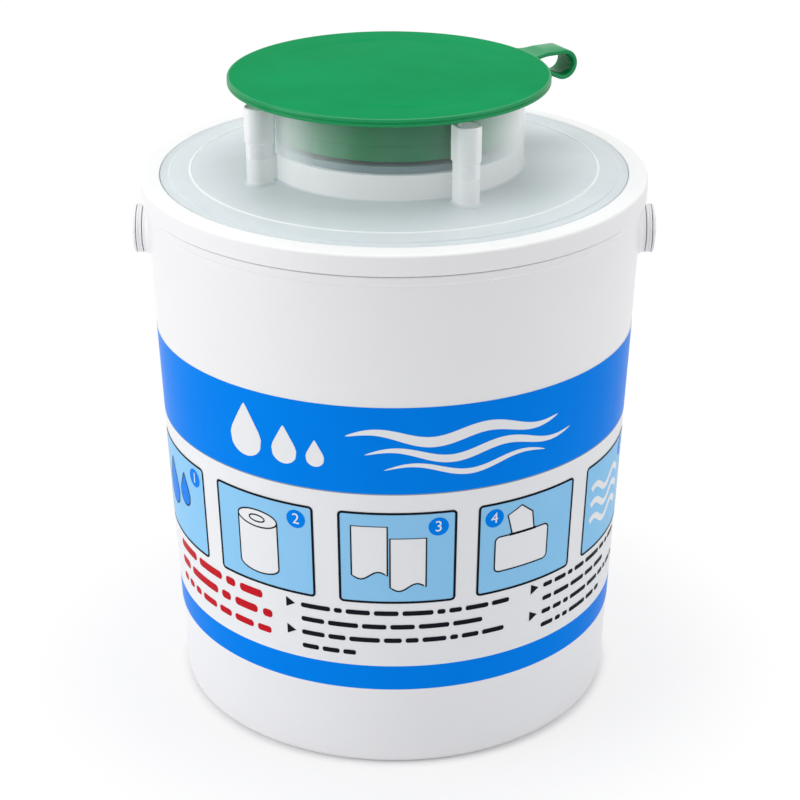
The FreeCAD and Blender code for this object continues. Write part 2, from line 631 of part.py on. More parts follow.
def make_cap():
    """Green cap: hollow plug on the collar's axis, eccentric disc with its lip, and the strap's tab."""
    body = new_body("cap")
    turn_about_z(body, "post_turn")
    plug = new_sketch(body, "plug_profile", "XZ_Plane")
    add_outline(plug, [
        ("plug_lower - plug_wall", "plug_foot"),
        ("plug_lower", "plug_foot"),
        ("plug_lower", "plug_bead_height - plug_bead_half"),
        ("plug_radius", "plug_bead_height"),
        ("plug_upper", "plug_bead_height + plug_bead_half"),
        ("plug_upper", "cap_middle"),
        ("plug_upper - plug_wall", "cap_middle"),
        ("plug_upper - plug_wall", "plug_bead_height + plug_bead_half"),
        ("plug_lower - plug_wall", "plug_bead_height - plug_bead_half"),
    ])
    revolve(body, "plug", plug)

    lip_inner = "cap_radius - lip_wide"
    lip_middle = "cap_top - lip_tall / 2"
    disc = new_sketch(body, "disc_profile", "XZ_Plane", shift="0 - cap_shift")
    add_outline(disc, [
        ("0", "cap_underside"),
        (lip_inner, "cap_underside"),
        (lip_inner, "lip_foot"),
        ("cap_radius - lip_round", "lip_foot", ("lip_round", 1)),
        ("cap_radius", "lip_foot + lip_round"),
        ("cap_radius", lip_middle + " - lip_groove"),
        ("cap_radius - lip_groove", lip_middle),
        ("cap_radius", lip_middle + " + lip_groove"),
        ("cap_radius", "cap_top - lip_round", ("lip_round", 1)),
        ("cap_radius - lip_round", "cap_top"),
        ("0", "cap_top"),
    ])
    revolve(body, "disc", disc)

    sink = new_sketch(body, "sink_profile", "XZ_Plane")
    sink_radius = "plug_upper - plug_wall / 2"
    add_outline(sink, [
        (sink_radius + " - sink_wide", "cap_top"),
        (sink_radius, "cap_top - sink_deep"),
        (sink_radius + " + sink_wide", "cap_top"),
        (sink_radius, "cap_top + sink_deep"),
    ])
    revolve(body, "sink_ring", sink, kind="Groove")

    tab = new_sketch(body, "tab_outline", "XZ_Plane")
    add_outline(tab, [
        ("cap_near_edge - lip_wide", "cap_underside"),
        ("cap_near_edge", "cap_underside"),
        ("tab_end", "loop_top - strap_thick"),
        ("tab_end", "loop_top"),
        ("cap_near_edge - lip_wide", "cap_top"),
    ])
    pad(body, "strap_tab", tab, "strap_wide", both_sides=True)
    return body


def leg_height(distance, turn_off, radius):
    """Height of the strap's climbing lower leg, on its outer or inner face, at a distance."""
    return f"hinge_height - {radius} * cos(strap_slope) + ({turn_off} - {distance}) * tan(strap_slope)"


def make_strap():
    """Flexible band: from the cap's tab over the loop, and back towards the peg."""
    body = new_body("cap_strap")
    turn_about_z(body, "post_turn")
    outline = new_sketch(body, "strap_outline", "XZ_Plane")
    outer_turn_off = ("turn_off_outer", "hinge_height - loop_radius * cos(strap_slope)")
    inner_turn_off = ("turn_off_inner", "hinge_height - loop_inner * cos(strap_slope)")
    inner = ("loop_inner", -1)
    outer = ("loop_radius", 1)
    add_outline(outline, [
        ("tab_end", "loop_top - strap_thick"),
        ("hinge_distance", "loop_top - strap_thick", inner),
        ("hinge_distance + loop_inner", "hinge_height", inner),
        ("hinge_distance", "hinge_height - loop_inner", inner),
        inner_turn_off,
        ("strap_end", leg_height("strap_end", "turn_off_inner", "loop_inner")),
        ("strap_end", leg_height("strap_end", "turn_off_outer", "loop_radius")),
        outer_turn_off + (outer,),
        ("hinge_distance", "hinge_height - loop_radius", outer),
        ("hinge_distance + loop_radius", "hinge_height", outer),
        ("hinge_distance", "loop_top"),
        ("tab_end", "loop_top"),
    ])
    pad(body, "strap_band", outline, "strap_wide", both_sides=True)
    return body


def make_anchor():
    """End of the strap: it climbs beside the post, lies on its top and is plugged into its socket."""
    body = new_body("strap_anchor")
    turn_about_z(body, "post_turn")
    head_top = "post_top + strap_thick"
    outline = new_sketch(body, "anchor_outline", "XZ_Plane")
    add_outline(outline, [
        ("anchor_outer", leg_height("anchor_outer", "turn_off_inner", "loop_inner")),
        ("anchor_outer", head_top),
        ("post_distance", head_top),
        ("post_distance", "post_top"),
        ("anchor_inner", "post_top"),
        ("anchor_inner", leg_height("anchor_inner", "turn_off_outer", "loop_radius")),
        ("strap_end", leg_height("strap_end", "turn_off_outer", "loop_radius")),
        ("strap_end", leg_height("strap_end", "turn_off_inner", "loop_inner")),
    ])
    pad(body, "anchor_leg", outline, "strap_wide", both_sides=True)
    head_circle = new_sketch(body, "peg_head_circle", "XY_Plane", lift="post_top")
    add_circle(head_circle, "strap_wide / 2", across="post_distance")
    pad(body, "peg_head", head_circle, "strap_thick")
    peg_foot = "socket_floor + peg_tip_gap"
    peg_circle = new_sketch(body, "peg_circle", "XY_Plane", lift=peg_foot)
    add_circle(peg_circle, "socket_radius - peg_gap", across="post_distance")
    pad(body, "peg", peg_circle, f"{head_top} - ({peg_foot})")
    return body


def hoop_point(radius, up):
    """How far out a circle about the pivot axis is at a distance along the bail."""
    return f"sqrt({radius} ^ 2 - ({up}) ^ 2)"


def make_bail():
    """Bail: two eyes, a half hoop that jogs out past the ring, and the grip; it leans on the wall."""
    body = new_body("bail")
    lean = FreeCAD.Rotation(FreeCAD.Vector(-1, 0, 0), value_of("bail_lean"))
    body.Placement.Rotation = lean
    body.setExpression("Placement.Rotation.Angle", formula("bail_lean"))
    body.setExpression("Placement.Base.z", formula("ear_height"))

    eye_circle = new_sketch(body, "eye_circle", "YZ_Plane", lift="eye_inner_face")
    add_circle(eye_circle, "ear_radius")
    eye = pad(body, "eye", eye_circle, "eye_thick")
    bore_circle = new_sketch(body, "eye_bore_circle", "YZ_Plane", lift="eye_outer_face")
    add_circle(bore_circle, "eye_bore")
    bore = pocket(body, "eye_bore_cut", bore_circle, "eye_thick")
    notch_profile = new_sketch(body, "eye_groove_profile", "XY_Plane")
    eye_middle = "eye_inner_face + eye_thick / 2"
    add_outline(notch_profile, [
        (eye_middle, "ear_radius - eye_groove"),
        (eye_middle + " + eye_groove", "ear_radius + eye_groove"),
        (eye_middle + " - eye_groove", "ear_radius + eye_groove"),
    ])
    notch = revolve(body, "eye_groove_cut", notch_profile, kind="Groove", axis="H_Axis")
    both_ends(body, "left_eye", [eye, bore, notch])

    joins_inner = hoop_point("bail_inner", "bail_joins")
    joins_outer = hoop_point("bail_outer", "bail_joins")
    hoop = new_sketch(body, "hoop_outline", "XY_Plane")
    add_outline(hoop, [
        ("eye_inner_face", "bail_start"),
        ("eye_outer_face", "bail_start"),
        ("eye_outer_face", "bail_straight"),
        (joins_outer, "bail_joins", ("bail_outer", 1)),
        ("0", "bail_outer", ("bail_outer", 1)),
        ("0 - " + joins_outer, "bail_joins"),
        ("0 - eye_outer_face", "bail_straight"),
        ("0 - eye_outer_face", "bail_start"),
        ("0 - eye_inner_face", "bail_start"),
        ("0 - eye_inner_face", "bail_straight"),
        ("0 - " + joins_inner, "bail_joins", ("bail_inner", -1)),
        ("0", "bail_inner", ("bail_inner", -1)),
        (joins_inner, "bail_joins"),
        ("eye_inner_face", "bail_straight"),
    ])
    pad(body, "hoop", hoop, "bail_wide", both_sides=True)

    grip_outer = "(bail_inner + grip_thick)"
    half_arc = "(grip_arc / 2)"
    grip = new_sketch(body, "grip_outline", "XY_Plane")
    add_outline(grip, [
        (f"bail_inner * sin{half_arc}", f"bail_inner * cos{half_arc}"),
        (f"{grip_outer} * sin{half_arc}", f"{grip_outer} * cos{half_arc}", (grip_outer, 1)),
        (f"0 - {grip_outer} * sin{half_arc}", f"{grip_outer} * cos{half_arc}"),
        (f"0 - bail_inner * sin{half_arc}", f"bail_inner * cos{half_arc}", ("bail_inner", -1)),
    ])
    pad(body, "grip", grip, "grip_wide", both_sides=True)
    return body


def make_button(node, half_turn):
    """Domed button: its shaft is pressed into the ear and carries the bail's eye."""
    body = new_body(node)
    turn_about_z(body, half_turn)
    body.setExpression("Placement.Base.z", formula("ear_height"))
    edge_face = "head_inner_face + button_edge"
    profile = new_sketch(body, node + "_profile", "XY_Plane")
    dome_radius = "(ear_radius ^ 2 + button_dome ^ 2) / (2 * button_dome)"
    add_outline(profile, [
        ("ear_face - pivot_sink", "0"),
        (edge_face + " + button_dome", "0", (dome_radius, 1)),
        (edge_face, "ear_radius"),
        ("head_inner_face", "ear_radius"),
        ("head_inner_face", "pivot_radius"),
        ("ear_face - pivot_sink", "pivot_radius"),
    ])
    revolve(body, node + "_turned", profile, axis="H_Axis")
    return body


def make_tail():
    """Loose end of the wipes: up from the roll, gathered in the insert's hole, spread under the cap."""
    body = new_body("wipe_tail")
    tuft_height = "web_top + tail_neck + (tail_top - web_top - tail_neck) * tail_tuft_share"
    profile = new_sketch(body, "tail_profile", "XZ_Plane")
    add_outline(profile, [
        ("0", "tail_bottom"),
        ("tail_foot", "tail_bottom"),
        ("tail_thin", "web_foot - tail_neck"),
        ("tail_thin", "web_top + tail_neck"),
        ("tail_tuft", tuft_height),
        ("tail_tip", "tail_top"),
        ("0", "tail_top"),
    ])
    revolve(body, "tail_turned", profile)
    return body


sub_parts = [
    make_pail(),
    make_label(),
    make_button("bail_button_right", "0"),
    make_button("bail_button_left", "180"),
    make_bail(),
    tube("rim_gasket", "neck_radius - gasket_inset", "neck_inner + gasket_inset", "gasket_thick",
         "rim_height"),
    make_lid_plate(),
    make_lid_ring(),
    make_insert(),
    make_cap(),
    make_strap(),
    make_anchor(),
    tube("wipe_roll", "roll_radius", "roll_core", "roll_tall", "pail_floor"),
    make_tail(),
]

doc.recompute()

faulty = [item.Name for item in doc.Objects if {"Invalid", "Error"} & set(item.State)]
for item in sub_parts:
    if item.Shape.isNull() or not item.Shape.isValid() or len(item.Shape.Solids) != 1:
        faulty.append(item.Label)
if faulty:
    raise RuntimeError("faulty objects: " + ", ".join(faulty))

os.makedirs("parts", exist_ok=True)
for item in sub_parts:
    item.Shape.exportStep(f"parts/{item.Label}.step")
    box = item.Shape.optimalBoundingBox(False, False)
    print(f"{item.Label}: {item.Shape.Volume / 1000:.1f} cm3, "
          f"x {box.XMin:.1f} to {box.XMax:.1f}, y {box.YMin:.1f} to {box.YMax:.1f}, "
          f"z {box.ZMin:.1f} to {box.ZMax:.1f}")
for name in ("bail_lean", "bail_inner", "hinge_distance", "hinge_height", "ring_radius", "cap_top"):
    print(f"{name} {value_of(name):.4f}")
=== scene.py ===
# %% [markdown]
# # A countertop wipes dispenser
# A round white pail holds a roll of wipes. A white snap ring clamps a translucent lid on it, and a
# green cap with a strap closes the collar that the wipes come out of. The solids give every
# piece its place and size. This lesson gives them their finish, in the same frame, in metres.

# %% Load the frame
import math
import random

import bmesh
import bpy
import numpy as np
from mathutils import Matrix, Vector


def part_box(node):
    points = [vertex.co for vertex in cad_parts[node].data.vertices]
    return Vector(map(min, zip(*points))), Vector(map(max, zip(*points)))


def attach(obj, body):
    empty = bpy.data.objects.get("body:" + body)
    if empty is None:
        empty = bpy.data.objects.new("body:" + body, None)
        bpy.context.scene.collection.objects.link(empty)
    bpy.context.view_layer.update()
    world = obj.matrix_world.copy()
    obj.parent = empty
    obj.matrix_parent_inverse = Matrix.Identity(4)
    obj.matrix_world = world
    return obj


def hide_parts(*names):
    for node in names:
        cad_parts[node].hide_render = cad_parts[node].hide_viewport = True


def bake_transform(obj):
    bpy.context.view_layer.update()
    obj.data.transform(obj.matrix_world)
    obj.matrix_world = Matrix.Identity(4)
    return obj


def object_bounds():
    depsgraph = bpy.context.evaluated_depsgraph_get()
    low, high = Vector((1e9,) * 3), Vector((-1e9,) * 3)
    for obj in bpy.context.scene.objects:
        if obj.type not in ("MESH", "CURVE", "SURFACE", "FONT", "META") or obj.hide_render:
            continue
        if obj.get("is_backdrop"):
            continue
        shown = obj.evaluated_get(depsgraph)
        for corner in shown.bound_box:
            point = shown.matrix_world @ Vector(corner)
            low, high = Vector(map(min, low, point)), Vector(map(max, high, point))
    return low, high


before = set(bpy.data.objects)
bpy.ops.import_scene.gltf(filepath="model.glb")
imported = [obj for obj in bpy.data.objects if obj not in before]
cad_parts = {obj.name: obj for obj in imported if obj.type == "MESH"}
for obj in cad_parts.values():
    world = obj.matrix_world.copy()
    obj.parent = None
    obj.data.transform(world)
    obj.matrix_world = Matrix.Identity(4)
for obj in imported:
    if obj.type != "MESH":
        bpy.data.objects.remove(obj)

MM = 0.001
cad_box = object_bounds()
print("solids:", sorted(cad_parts))

# %% [markdown]
# ## Sizes
# A mould maker's drawing gives radii and heights, so the sizes here are radii and heights in
# millimetres. The boxes of the solids give most of the outer ones, and the steps and rounds
# inside those boxes are written out.

# %% Sizes of the main pieces
def reach(node):
    """Lowest and highest corner of a solid, in millimetres."""
    low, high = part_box(node)
    return low / MM, high / MM


RIM = reach("pail")[1].z
LABEL_LOW, LABEL_HIGH = (corner.z for corner in reach("label"))
RING_R = reach("lid_ring")[1].x
RING_FOOT, RING_TOP = (corner.z for corner in reach("lid_ring"))
COLLAR_TOP = reach("lid_plate")[1].z
INSERT_LOW, INSERT_HIGH = (corner.z for corner in reach("dispensing_insert"))
ROLL_LOW, ROLL_HIGH = (corner.z for corner in reach("wipe_roll"))
ROLL_R = reach("wipe_roll")[1].x
TAIL_LOW, TAIL_HIGH = (corner.z for corner in reach("wipe_tail"))
FOOT_R = 100.2
MOUTH_R = 110.1
SHOULDER = 236.7
SLOPE = (MOUTH_R - FOOT_R) / SHOULDER
WALL = 1.8
PIVOT = 218.0
STRAP_TURN = math.radians(28)
print(f"rim {RIM:.1f}, ring {RING_R:.1f}, collar {COLLAR_TOP:.1f}, label {LABEL_LOW:.1f}-{LABEL_HIGH:.1f}")


def wall(height):
    """Outside of the tapered wall at a height."""
    return FOOT_R + SLOPE * height


def strap_side(out, across, height, azimuth=STRAP_TURN):
    """A point given along, across and above the direction in which the strap lies, or another."""
    return Matrix.Rotation(azimuth, 3, "Z") @ Vector((out, across, height))


# %% [markdown]
# ## The camera
# The photograph is a product shot from a little above. A long lens about a metre away gives the
# same ellipses of rim, label and cap.

# %% Camera
CAMERA_PLACE = (2.6, -903.0, 542.5)
CAMERA_PITCH = 24.386
CAMERA_LENS = 95.95
SENSOR_WIDE = 36


def placed(name, data):
    """A new object with its data, in the scene."""
    thing = bpy.data.objects.new(name, data)
    bpy.context.scene.collection.objects.link(thing)
    return thing


camera = placed("camera", bpy.data.cameras.new("camera"))
camera.data.lens = CAMERA_LENS
camera.data.sensor_width = SENSOR_WIDE
camera.location = Vector(CAMERA_PLACE) * MM
camera.rotation_euler = (math.radians(90 - CAMERA_PITCH), 0, 0)
bpy.context.scene.camera = camera
print("camera looks down by", CAMERA_PITCH, "degrees")

# %% [markdown]
# ## Outlines with rounded corners
# Moulded plastic has no knife edges: each corner has a small radius that catches the light.
# A Bevel modifier could add them, but on turned pieces it is surer to round the outline
# before it is turned. Beside each arc goes one more point, so that smooth shading ends there
# and the flat wall stays flat.

# %% Rounded outlines
ARC_STEP = math.radians(18)
GUARD_SHARE = 0.35
TINY = 1e-6


def arc(across, up, radius, start, end, count, squash=1.0):
    """Points along an arc about a middle, squashed upright if asked."""
    return [(across + radius * math.cos(a), up + squash * radius * math.sin(a))
            for a in np.linspace(start, end, count)]


def rounded(corners, closed=True):
    """Points of an outline. A corner is (across, up) or (across, up, radius)."""
    points = []
    for index, corner in enumerate(corners):
        here = np.array(corner[:2], float)
        radius = corner[2] if len(corner) > 2 else 0
        at_end = not closed and index in (0, len(corners) - 1)
        if not radius or at_end:
            points.append(here)
            continue
        back = np.array(corners[index - 1][:2], float) - here
        onward = np.array(corners[(index + 1) % len(corners)][:2], float) - here
        room = 0.48 * min(np.linalg.norm(back), np.linalg.norm(onward))
        back /= np.linalg.norm(back)
        onward /= np.linalg.norm(onward)
        half = math.acos(max(-1, min(1, float(back @ onward)))) / 2
        if half > math.radians(89.5):
            points.append(here)
            continue
        setback = radius / math.tan(half)
        guard = min(GUARD_SHARE * radius, max(room - setback, 0))
        centre = here + (back + onward) / np.linalg.norm(back + onward) * radius / math.sin(half)
        first = here + back * setback - centre
        last = here + onward * setback - centre
        start = math.atan2(first[1], first[0])
        sweep = math.remainder(math.atan2(last[1], last[0]) - start, math.tau)
        steps = max(2, math.ceil(abs(sweep) / ARC_STEP))
        guards = [here + side * (setback + guard) for side in (back, onward)] if guard > TINY else []
        points += guards[:1] + arc(*centre, radius, start, start + sweep, steps + 1) + guards[1:]
    return points


# %% [markdown]
# ## Turned and lofted pieces
# Most pieces of this dispenser are bodies of revolution, so one function turns an outline, and
# another skins a row of cross-sections for the bail, the posts, the strap and the label. Both
# write the mesh directly, which closes every seam and pole by construction.

# %% Solids from outlines
STEPS = 240


def solid(name, points, faces):
    """An object in metres from points in millimetres, with its faces turned outwards."""
    mesh = bpy.data.meshes.new(name)
    mesh.from_pydata([tuple(MM * float(c) for c in point) for point in points], [], faces)
    form = bmesh.new()
    form.from_mesh(mesh)
    bmesh.ops.recalc_face_normals(form, faces=form.faces)
    form.to_mesh(mesh)
    form.free()
    return placed(name, mesh)


def turned(name, corners, middle=(0, 0), relief=None, steps=STEPS):
    """Corners as (radius, height, rounding), turned about an upright axis through the middle."""
    angles = np.arange(steps) * math.tau / steps
    points = []
    rings = []
    for radius, height in rounded(corners):
        if radius < TINY:
            rings.append([len(points)] * steps)
            points.append((middle[0], middle[1], height))
            continue
        rings.append(list(range(len(points), len(points) + steps)))
        across = radius - (relief(angles, radius, height) if relief else 0 * angles)
        points += zip(middle[0] + across * np.cos(angles), middle[1] + across * np.sin(angles),
                      np.full(steps, height))
    faces = []
    for low, high in zip(rings, rings[1:] + rings[:1]):
        for step in range(steps):
            after = (step + 1) % steps
            loop = [low[step], low[after], high[after], high[step]]
            loop = [point for place, point in enumerate(loop) if point != loop[place - 1]]
            if len(loop) > 2:
                faces.append(loop)
    return solid(name, points, faces)


def lofted(name, sections):
    """A skin over cross-sections with the same number of points, closed at both ends."""
    size = len(sections[0])
    points = [point for section in sections for point in section]
    faces = [tuple(range(size)), tuple(range(len(points) - size, len(points)))]
    for start in range(0, len(points) - size, size):
        for place in range(size):
            after = (place + 1) % size
            faces.append((start + place, start + after, start + size + after, start + size + place))
    return solid(name, points, faces)


def freeze(thing):
    """The object's shape after its modifiers becomes its plain mesh."""
    graph = bpy.context.evaluated_depsgraph_get()
    mesh = bpy.data.meshes.new_from_object(thing.evaluated_get(graph))
    thing.modifiers.clear()
    mesh.name = thing.name
    thing.data = mesh
    return thing


def thickened(thing, thickness, offset):
    """A sheet becomes a solid as thick as given, in millimetres."""
    skin = thing.modifiers.new("thickness", "SOLIDIFY")
    skin.thickness = thickness * MM
    skin.offset = offset
    return freeze(thing)


def worked(base, joins=(), cuts=()):
    """The base with other closed pieces welded on, and others cut away."""
    for operation, tools in (("UNION", joins), ("DIFFERENCE", cuts)):
        for tool in tools:
            change = base.modifiers.new(operation, "BOOLEAN")
            change.operation = operation
            change.solver = "EXACT"
            change.object = tool
            freeze(base)
            bpy.data.objects.remove(tool)
    return base


def dressed(thing, finish, body, stands_for=(), crease=34):
    """Gives a piece its shading and finish, unless it has one, and lets it ride on its body."""
    mesh = thing.data
    if finish:
        mesh.materials.clear()
        mesh.materials.append(finish)
    mesh.shade_smooth()
    mesh.set_sharp_from_angle(angle=math.radians(crease))
    evened = thing.modifiers.new("large_faces_lead", "WEIGHTED_NORMAL")
    evened.keep_sharp = True
    freeze(thing)
    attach(thing, body)
    if stands_for:
        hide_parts(*stands_for)
    low, high = (Vector(c) for c in (thing.bound_box[0], thing.bound_box[6]))
    print(f"{thing.name}: {len(thing.data.polygons)} faces, {low.z / MM:.1f} to {high.z / MM:.1f} mm high")


# %% [markdown]
# ## Shader maths as plain sums
# A finish is a few sums on noise and height. Wrapping a socket in a small class lets those sums
# be written as Python expressions, and each operator adds its node.

# %% Values of a finish
def add(tree, kind, settings=None, sockets=None, **named):
    """Adds a node: its settings, then numbers or links for its sockets, by place or by name."""
    made = tree.nodes.new(kind)
    for key, setting in (settings or {}).items():
        setattr(made, key, setting)
    by_name = {key.replace("_", " "): given for key, given in named.items()}
    for key, given in {**(sockets or {}), **by_name}.items():
        if isinstance(given, bpy.types.Node):
            given = given.outputs[0]
        if isinstance(given, Value):
            given = given.socket
        if isinstance(given, bpy.types.NodeSocket):
            tree.links.new(given, made.inputs[key])
        else:
            made.inputs[key].default_value = given
    return made


class Value:
    """One output socket of a finish, with operators that add nodes."""

    def __init__(self, tree, socket):
        self.tree = tree
        self.socket = socket

    def node(self, kind, settings=None, sockets=None, output=0, **named):
        return Value(self.tree, add(self.tree, kind, settings, sockets, **named).outputs[output])

    def maths(self, operation, *terms):
        return self.node("ShaderNodeMath", {"operation": operation}, dict(enumerate(terms)))

    def __add__(self, other):
        return self.maths("ADD", self, other)

    def __mul__(self, other):
        return self.maths("MULTIPLY", self, other)

    def __sub__(self, other):
        return self.maths("SUBTRACT", self, other)

    def __rsub__(self, other):
        return self.maths("SUBTRACT", other, self)

    __radd__ = __add__

    def at_most(self, limit):
        return self.maths("MINIMUM", self, limit)

    def step(self, low, high):
        """0 below low, 1 above high and smooth between."""
        smooth = {"interpolation_type": "SMOOTHSTEP"}
        return self.node("ShaderNodeMapRange", smooth, Value=self, From_Min=low, From_Max=high)

    def noise(self, scale, detail=2.0, stretch=(1, 1, 1)):
        """Noise of this value's place, with features of about 1 / scale metres."""
        place = self.node("ShaderNodeMapping", Vector=self, Scale=stretch)
        return self.node("ShaderNodeTexNoise", Vector=place, Scale=scale, Detail=detail)

    def mix(self, first, second):
        """A colour between two, with this value as the share of the second."""
        return self.node("ShaderNodeMix", {"data_type": "RGBA"}, {0: self, 6: first, 7: second}, output=2)

    def bump(self, strength, depth):
        return self.node("ShaderNodeBump", Height=self, Strength=strength, Distance=depth)

    def part(self, axis):
        return self.node("ShaderNodeSeparateXYZ", Vector=self, output="XYZ".index(axis))

    def off_axis(self, centre=(0, 0, 0)):
        """Distance from an upright axis through the centre, in metres."""
        moved = self.node("ShaderNodeVectorMath", {"operation": "SUBTRACT"}, {0: self, 1: centre})
        flat = moved.node("ShaderNodeVectorMath", {"operation": "MULTIPLY"}, {0: moved, 1: (1, 1, 0)})
        return flat.node("ShaderNodeVectorMath", {"operation": "LENGTH"}, {0: flat}, output=1)


def colour(red, green, blue):
    """A colour given as 0 to 255, in the linear numbers that a shader wants."""
    shares = (channel / 255 for channel in (red, green, blue))
    return tuple(s / 12.92 if s <= 0.04045 else ((s + 0.055) / 1.055) ** 2.4 for s in shares) + (1,)


def new_finish(name, **constants):
    """A finish with its constants set, and the place on the object as a value."""
    finish = bpy.data.materials.new(name)
    finish.use_nodes = True
    tree = finish.node_tree
    shader = tree.nodes["Principled BSDF"]
    for key, given in constants.items():
        shader.inputs[key.replace("_", " ")].default_value = given
    place = Value(tree, tree.nodes.new("ShaderNodeTexCoord").outputs["Object"])
    return finish, place


def feed(finish, **links):
    """Leads values into the shader's sockets."""
    shader = finish.node_tree.nodes["Principled BSDF"]
    for key, value in links.items():
        finish.node_tree.links.new(value.socket, shader.inputs[key.replace("_", " ")])


def surface(tree, shader):
    """Leads a shader to the output."""
    tree.links.new(shader.outputs[0], tree.nodes["Material Output"].inputs["Surface"])


# %% [markdown]
# ## White moulded plastic
# The pail, ring, bail and buttons are white polypropylene. It is never one flat white: the mould
# leaves a faint orange peel, the melt leaves slow flow marks, and use leaves fine scratches that
# are a little duller. Noise at three scales gives all three.

# %% White plastics
def white_plastic(name, tone, roughness, peel=900.0, scuffs=0.5):
    finish, place = new_finish(name, Specular_IOR_Level=0.4)
    cloud = place.noise(14, 3)
    flow = place.noise(60, 2, (1, 1, 0.12))
    scratch = place.noise(240, 4, (0.35, 0.35, 6.0)).step(0.66, 0.74) * place.noise(9, 2).step(0.5, 0.62)
    duller = tuple(0.955 * channel for channel in tone[:3]) + (1,)
    feed(finish,
         Base_Color=(cloud.step(0.3, 0.75) * 0.55 + scratch * (0.4 * scuffs)).mix(tone, duller),
         Roughness=roughness + (flow - 0.5) * 0.10 + scratch * (0.16 * scuffs),
         Normal=(place.noise(peel, 2) * 0.3 + flow * 0.3 - scratch * scuffs * 0.5).bump(0.05, 0.0004))
    return finish


pail_white = white_plastic("pail_white_plastic", colour(246, 246, 248), 0.30)
ring_white = white_plastic("ring_white_plastic", colour(248, 248, 249), 0.42, 1200.0, 0.35)
bail_white = white_plastic("bail_white_plastic", colour(245, 245, 246), 0.34, 1500.0, 0.8)
print("white plastics:", [finish.name for finish in (pail_white, ring_white, bail_white)])

# %% [markdown]
# ## The pail
# A pail is moulded in one shot: a tapered wall with a floor, a neck with a snap bead, a stiffening
# bead that stops short of the ears, and two round pads for the bail. The outline is turned, and
# where the stiffening bead ends, the radius eases back to the plain wall. The pads are
# turned about the pivot axis and welded on with a Boolean.

# %% Pail
BEAD_LOW = 232.5
BEAD_PROUD = 1.0
BEAD_HALF = math.radians(61)
BEAD_FADE = math.radians(1.6)


def ease(value):
    """A smooth step from 0 to 1 of a value from 0 to 1."""
    value = np.clip(value, 0, 1)
    return value * value * (3 - 2 * value)


def bead_relief(angles, radius, height):
    """How far the stiffening bead steps back at each angle: not at all at the front and back."""
    proud = radius - wall(height) if BEAD_LOW < height <= SHOULDER + 0.01 else 0
    if proud <= 0:
        return 0 * angles
    from_front = np.abs(np.arcsin(np.clip(np.abs(np.cos(angles)), 0, 1)))
    return proud * ease((from_front - BEAD_HALF) / BEAD_FADE + 0.5)


NECK_R = 108.9
NECK_IN = 107.0
FLOOR = 2.4
pail = turned("pail_shell", [
    (0, 0), (34, 0, 0.3), (34.7, 0.8, 0.3), (87.3, 0.8, 0.3), (88, 0, 0.3), (FOOT_R, 0, 3.5),
    (wall(BEAD_LOW), BEAD_LOW, 0.5), (wall(233.5) + BEAD_PROUD, 233.5, 0.6),
    (MOUTH_R + BEAD_PROUD, SHOULDER, 0.45), (NECK_R, SHOULDER, 0.3), (NECK_R, 239.0, 0.4),
    (109.7, 240.0, 0.35), (NECK_R, 241.0, 0.4), (NECK_R, RIM, 0.35), (NECK_IN, RIM, 0.35),
    (NECK_IN, 234.8, 1.0), (wall(232.9) - WALL, 232.9, 1.0), (wall(FLOOR) - WALL, FLOOR, 3.5),
    (0, FLOOR)], relief=bead_relief)

EAR_R = 11.0
EAR_FACE = 111.9
BORE_R = 5.0
PAD_FOOT = 12.6
pad_outline = [(0, 108.0), (PAD_FOOT, 108.0), (PAD_FOOT - 1.0, 109.9, 0.9), (EAR_R, 110.6, 0.3),
               (EAR_R, EAR_FACE, 0.6), (0, EAR_FACE)]
bore_outline = [(0, 108.7), (BORE_R + 0.05, 108.7), (BORE_R + 0.05, 113), (0, 113)]


def at_ears(name, corners, steps=96):
    """The same turned piece at the right and the left ear, lying along the pivot axis."""
    pair = [turned(name, corners, steps=steps) for _ in range(2)]
    for thing, degrees in zip(pair, (90, -90)):
        lying = Matrix.Rotation(math.radians(degrees), 4, "Y")
        thing.data.transform(Matrix.Translation((0, 0, PIVOT * MM)) @ lying)
    return pair


pail = worked(pail, at_ears("pad", pad_outline), at_ears("bore", bore_outline, 64))
dressed(pail, pail_white, "pail", ["pail"])

# %% [markdown]
# ## Buttons and bail
# The bail swings on two domed buttons pressed into the pads. Its hoop is one closed sweep: a
# rounded strip that leaves each eye, jogs outwards past the ring, and thickens into a grip at
# the back. A sweep whose section changes on the way gives the moulded run from
# strip to grip that two separate pieces would not.

# %% Buttons
HEAD_IN = 114.9
HEAD_EDGE = 0.9
HEAD_DOME = 1.5
dome_r = (EAR_R ** 2 + HEAD_DOME ** 2) / (2 * HEAD_DOME)
dome_top = HEAD_IN + HEAD_EDGE + HEAD_DOME
dome = [(EAR_R * share, dome_top - dome_r + math.sqrt(dome_r ** 2 - (EAR_R * share) ** 2))
        for share in (0.94, 0.86, 0.75, 0.6, 0.42, 0.22, 0)]
head = [(0, 108.8), (BORE_R, 108.8, 0.4), (BORE_R, HEAD_IN, 0.2), (EAR_R, HEAD_IN, 0.25),
        (EAR_R, HEAD_IN + HEAD_EDGE, 0.35)] + dome
for button, name in zip(at_ears("button", head), ("button_right", "button_left")):
    button.name = name
    dressed(button, bail_white, "pail", ["bail_" + name])

# %% Bail
EYE_IN = 112.2
EYE_OUT = 114.6
HOOP_R = 121.0
HOOP_HALF = 1.2
HOOP_WIDE = 4.0
GRIP_OUT = 3.8
GRIP_WIDE = 6.0
GRIP_HALF = math.radians(23)
GRIP_RAMP = math.radians(2.2)
JOIN_UP = 23.2
STRAIGHT_UP = 12.2
JOG = 1.2
EYE_SEAT = 11.5
LEAN = math.radians(23.1778)
lean = Matrix.Translation((0, 0, PIVOT)) @ Matrix.Rotation(-LEAN, 4, "X")


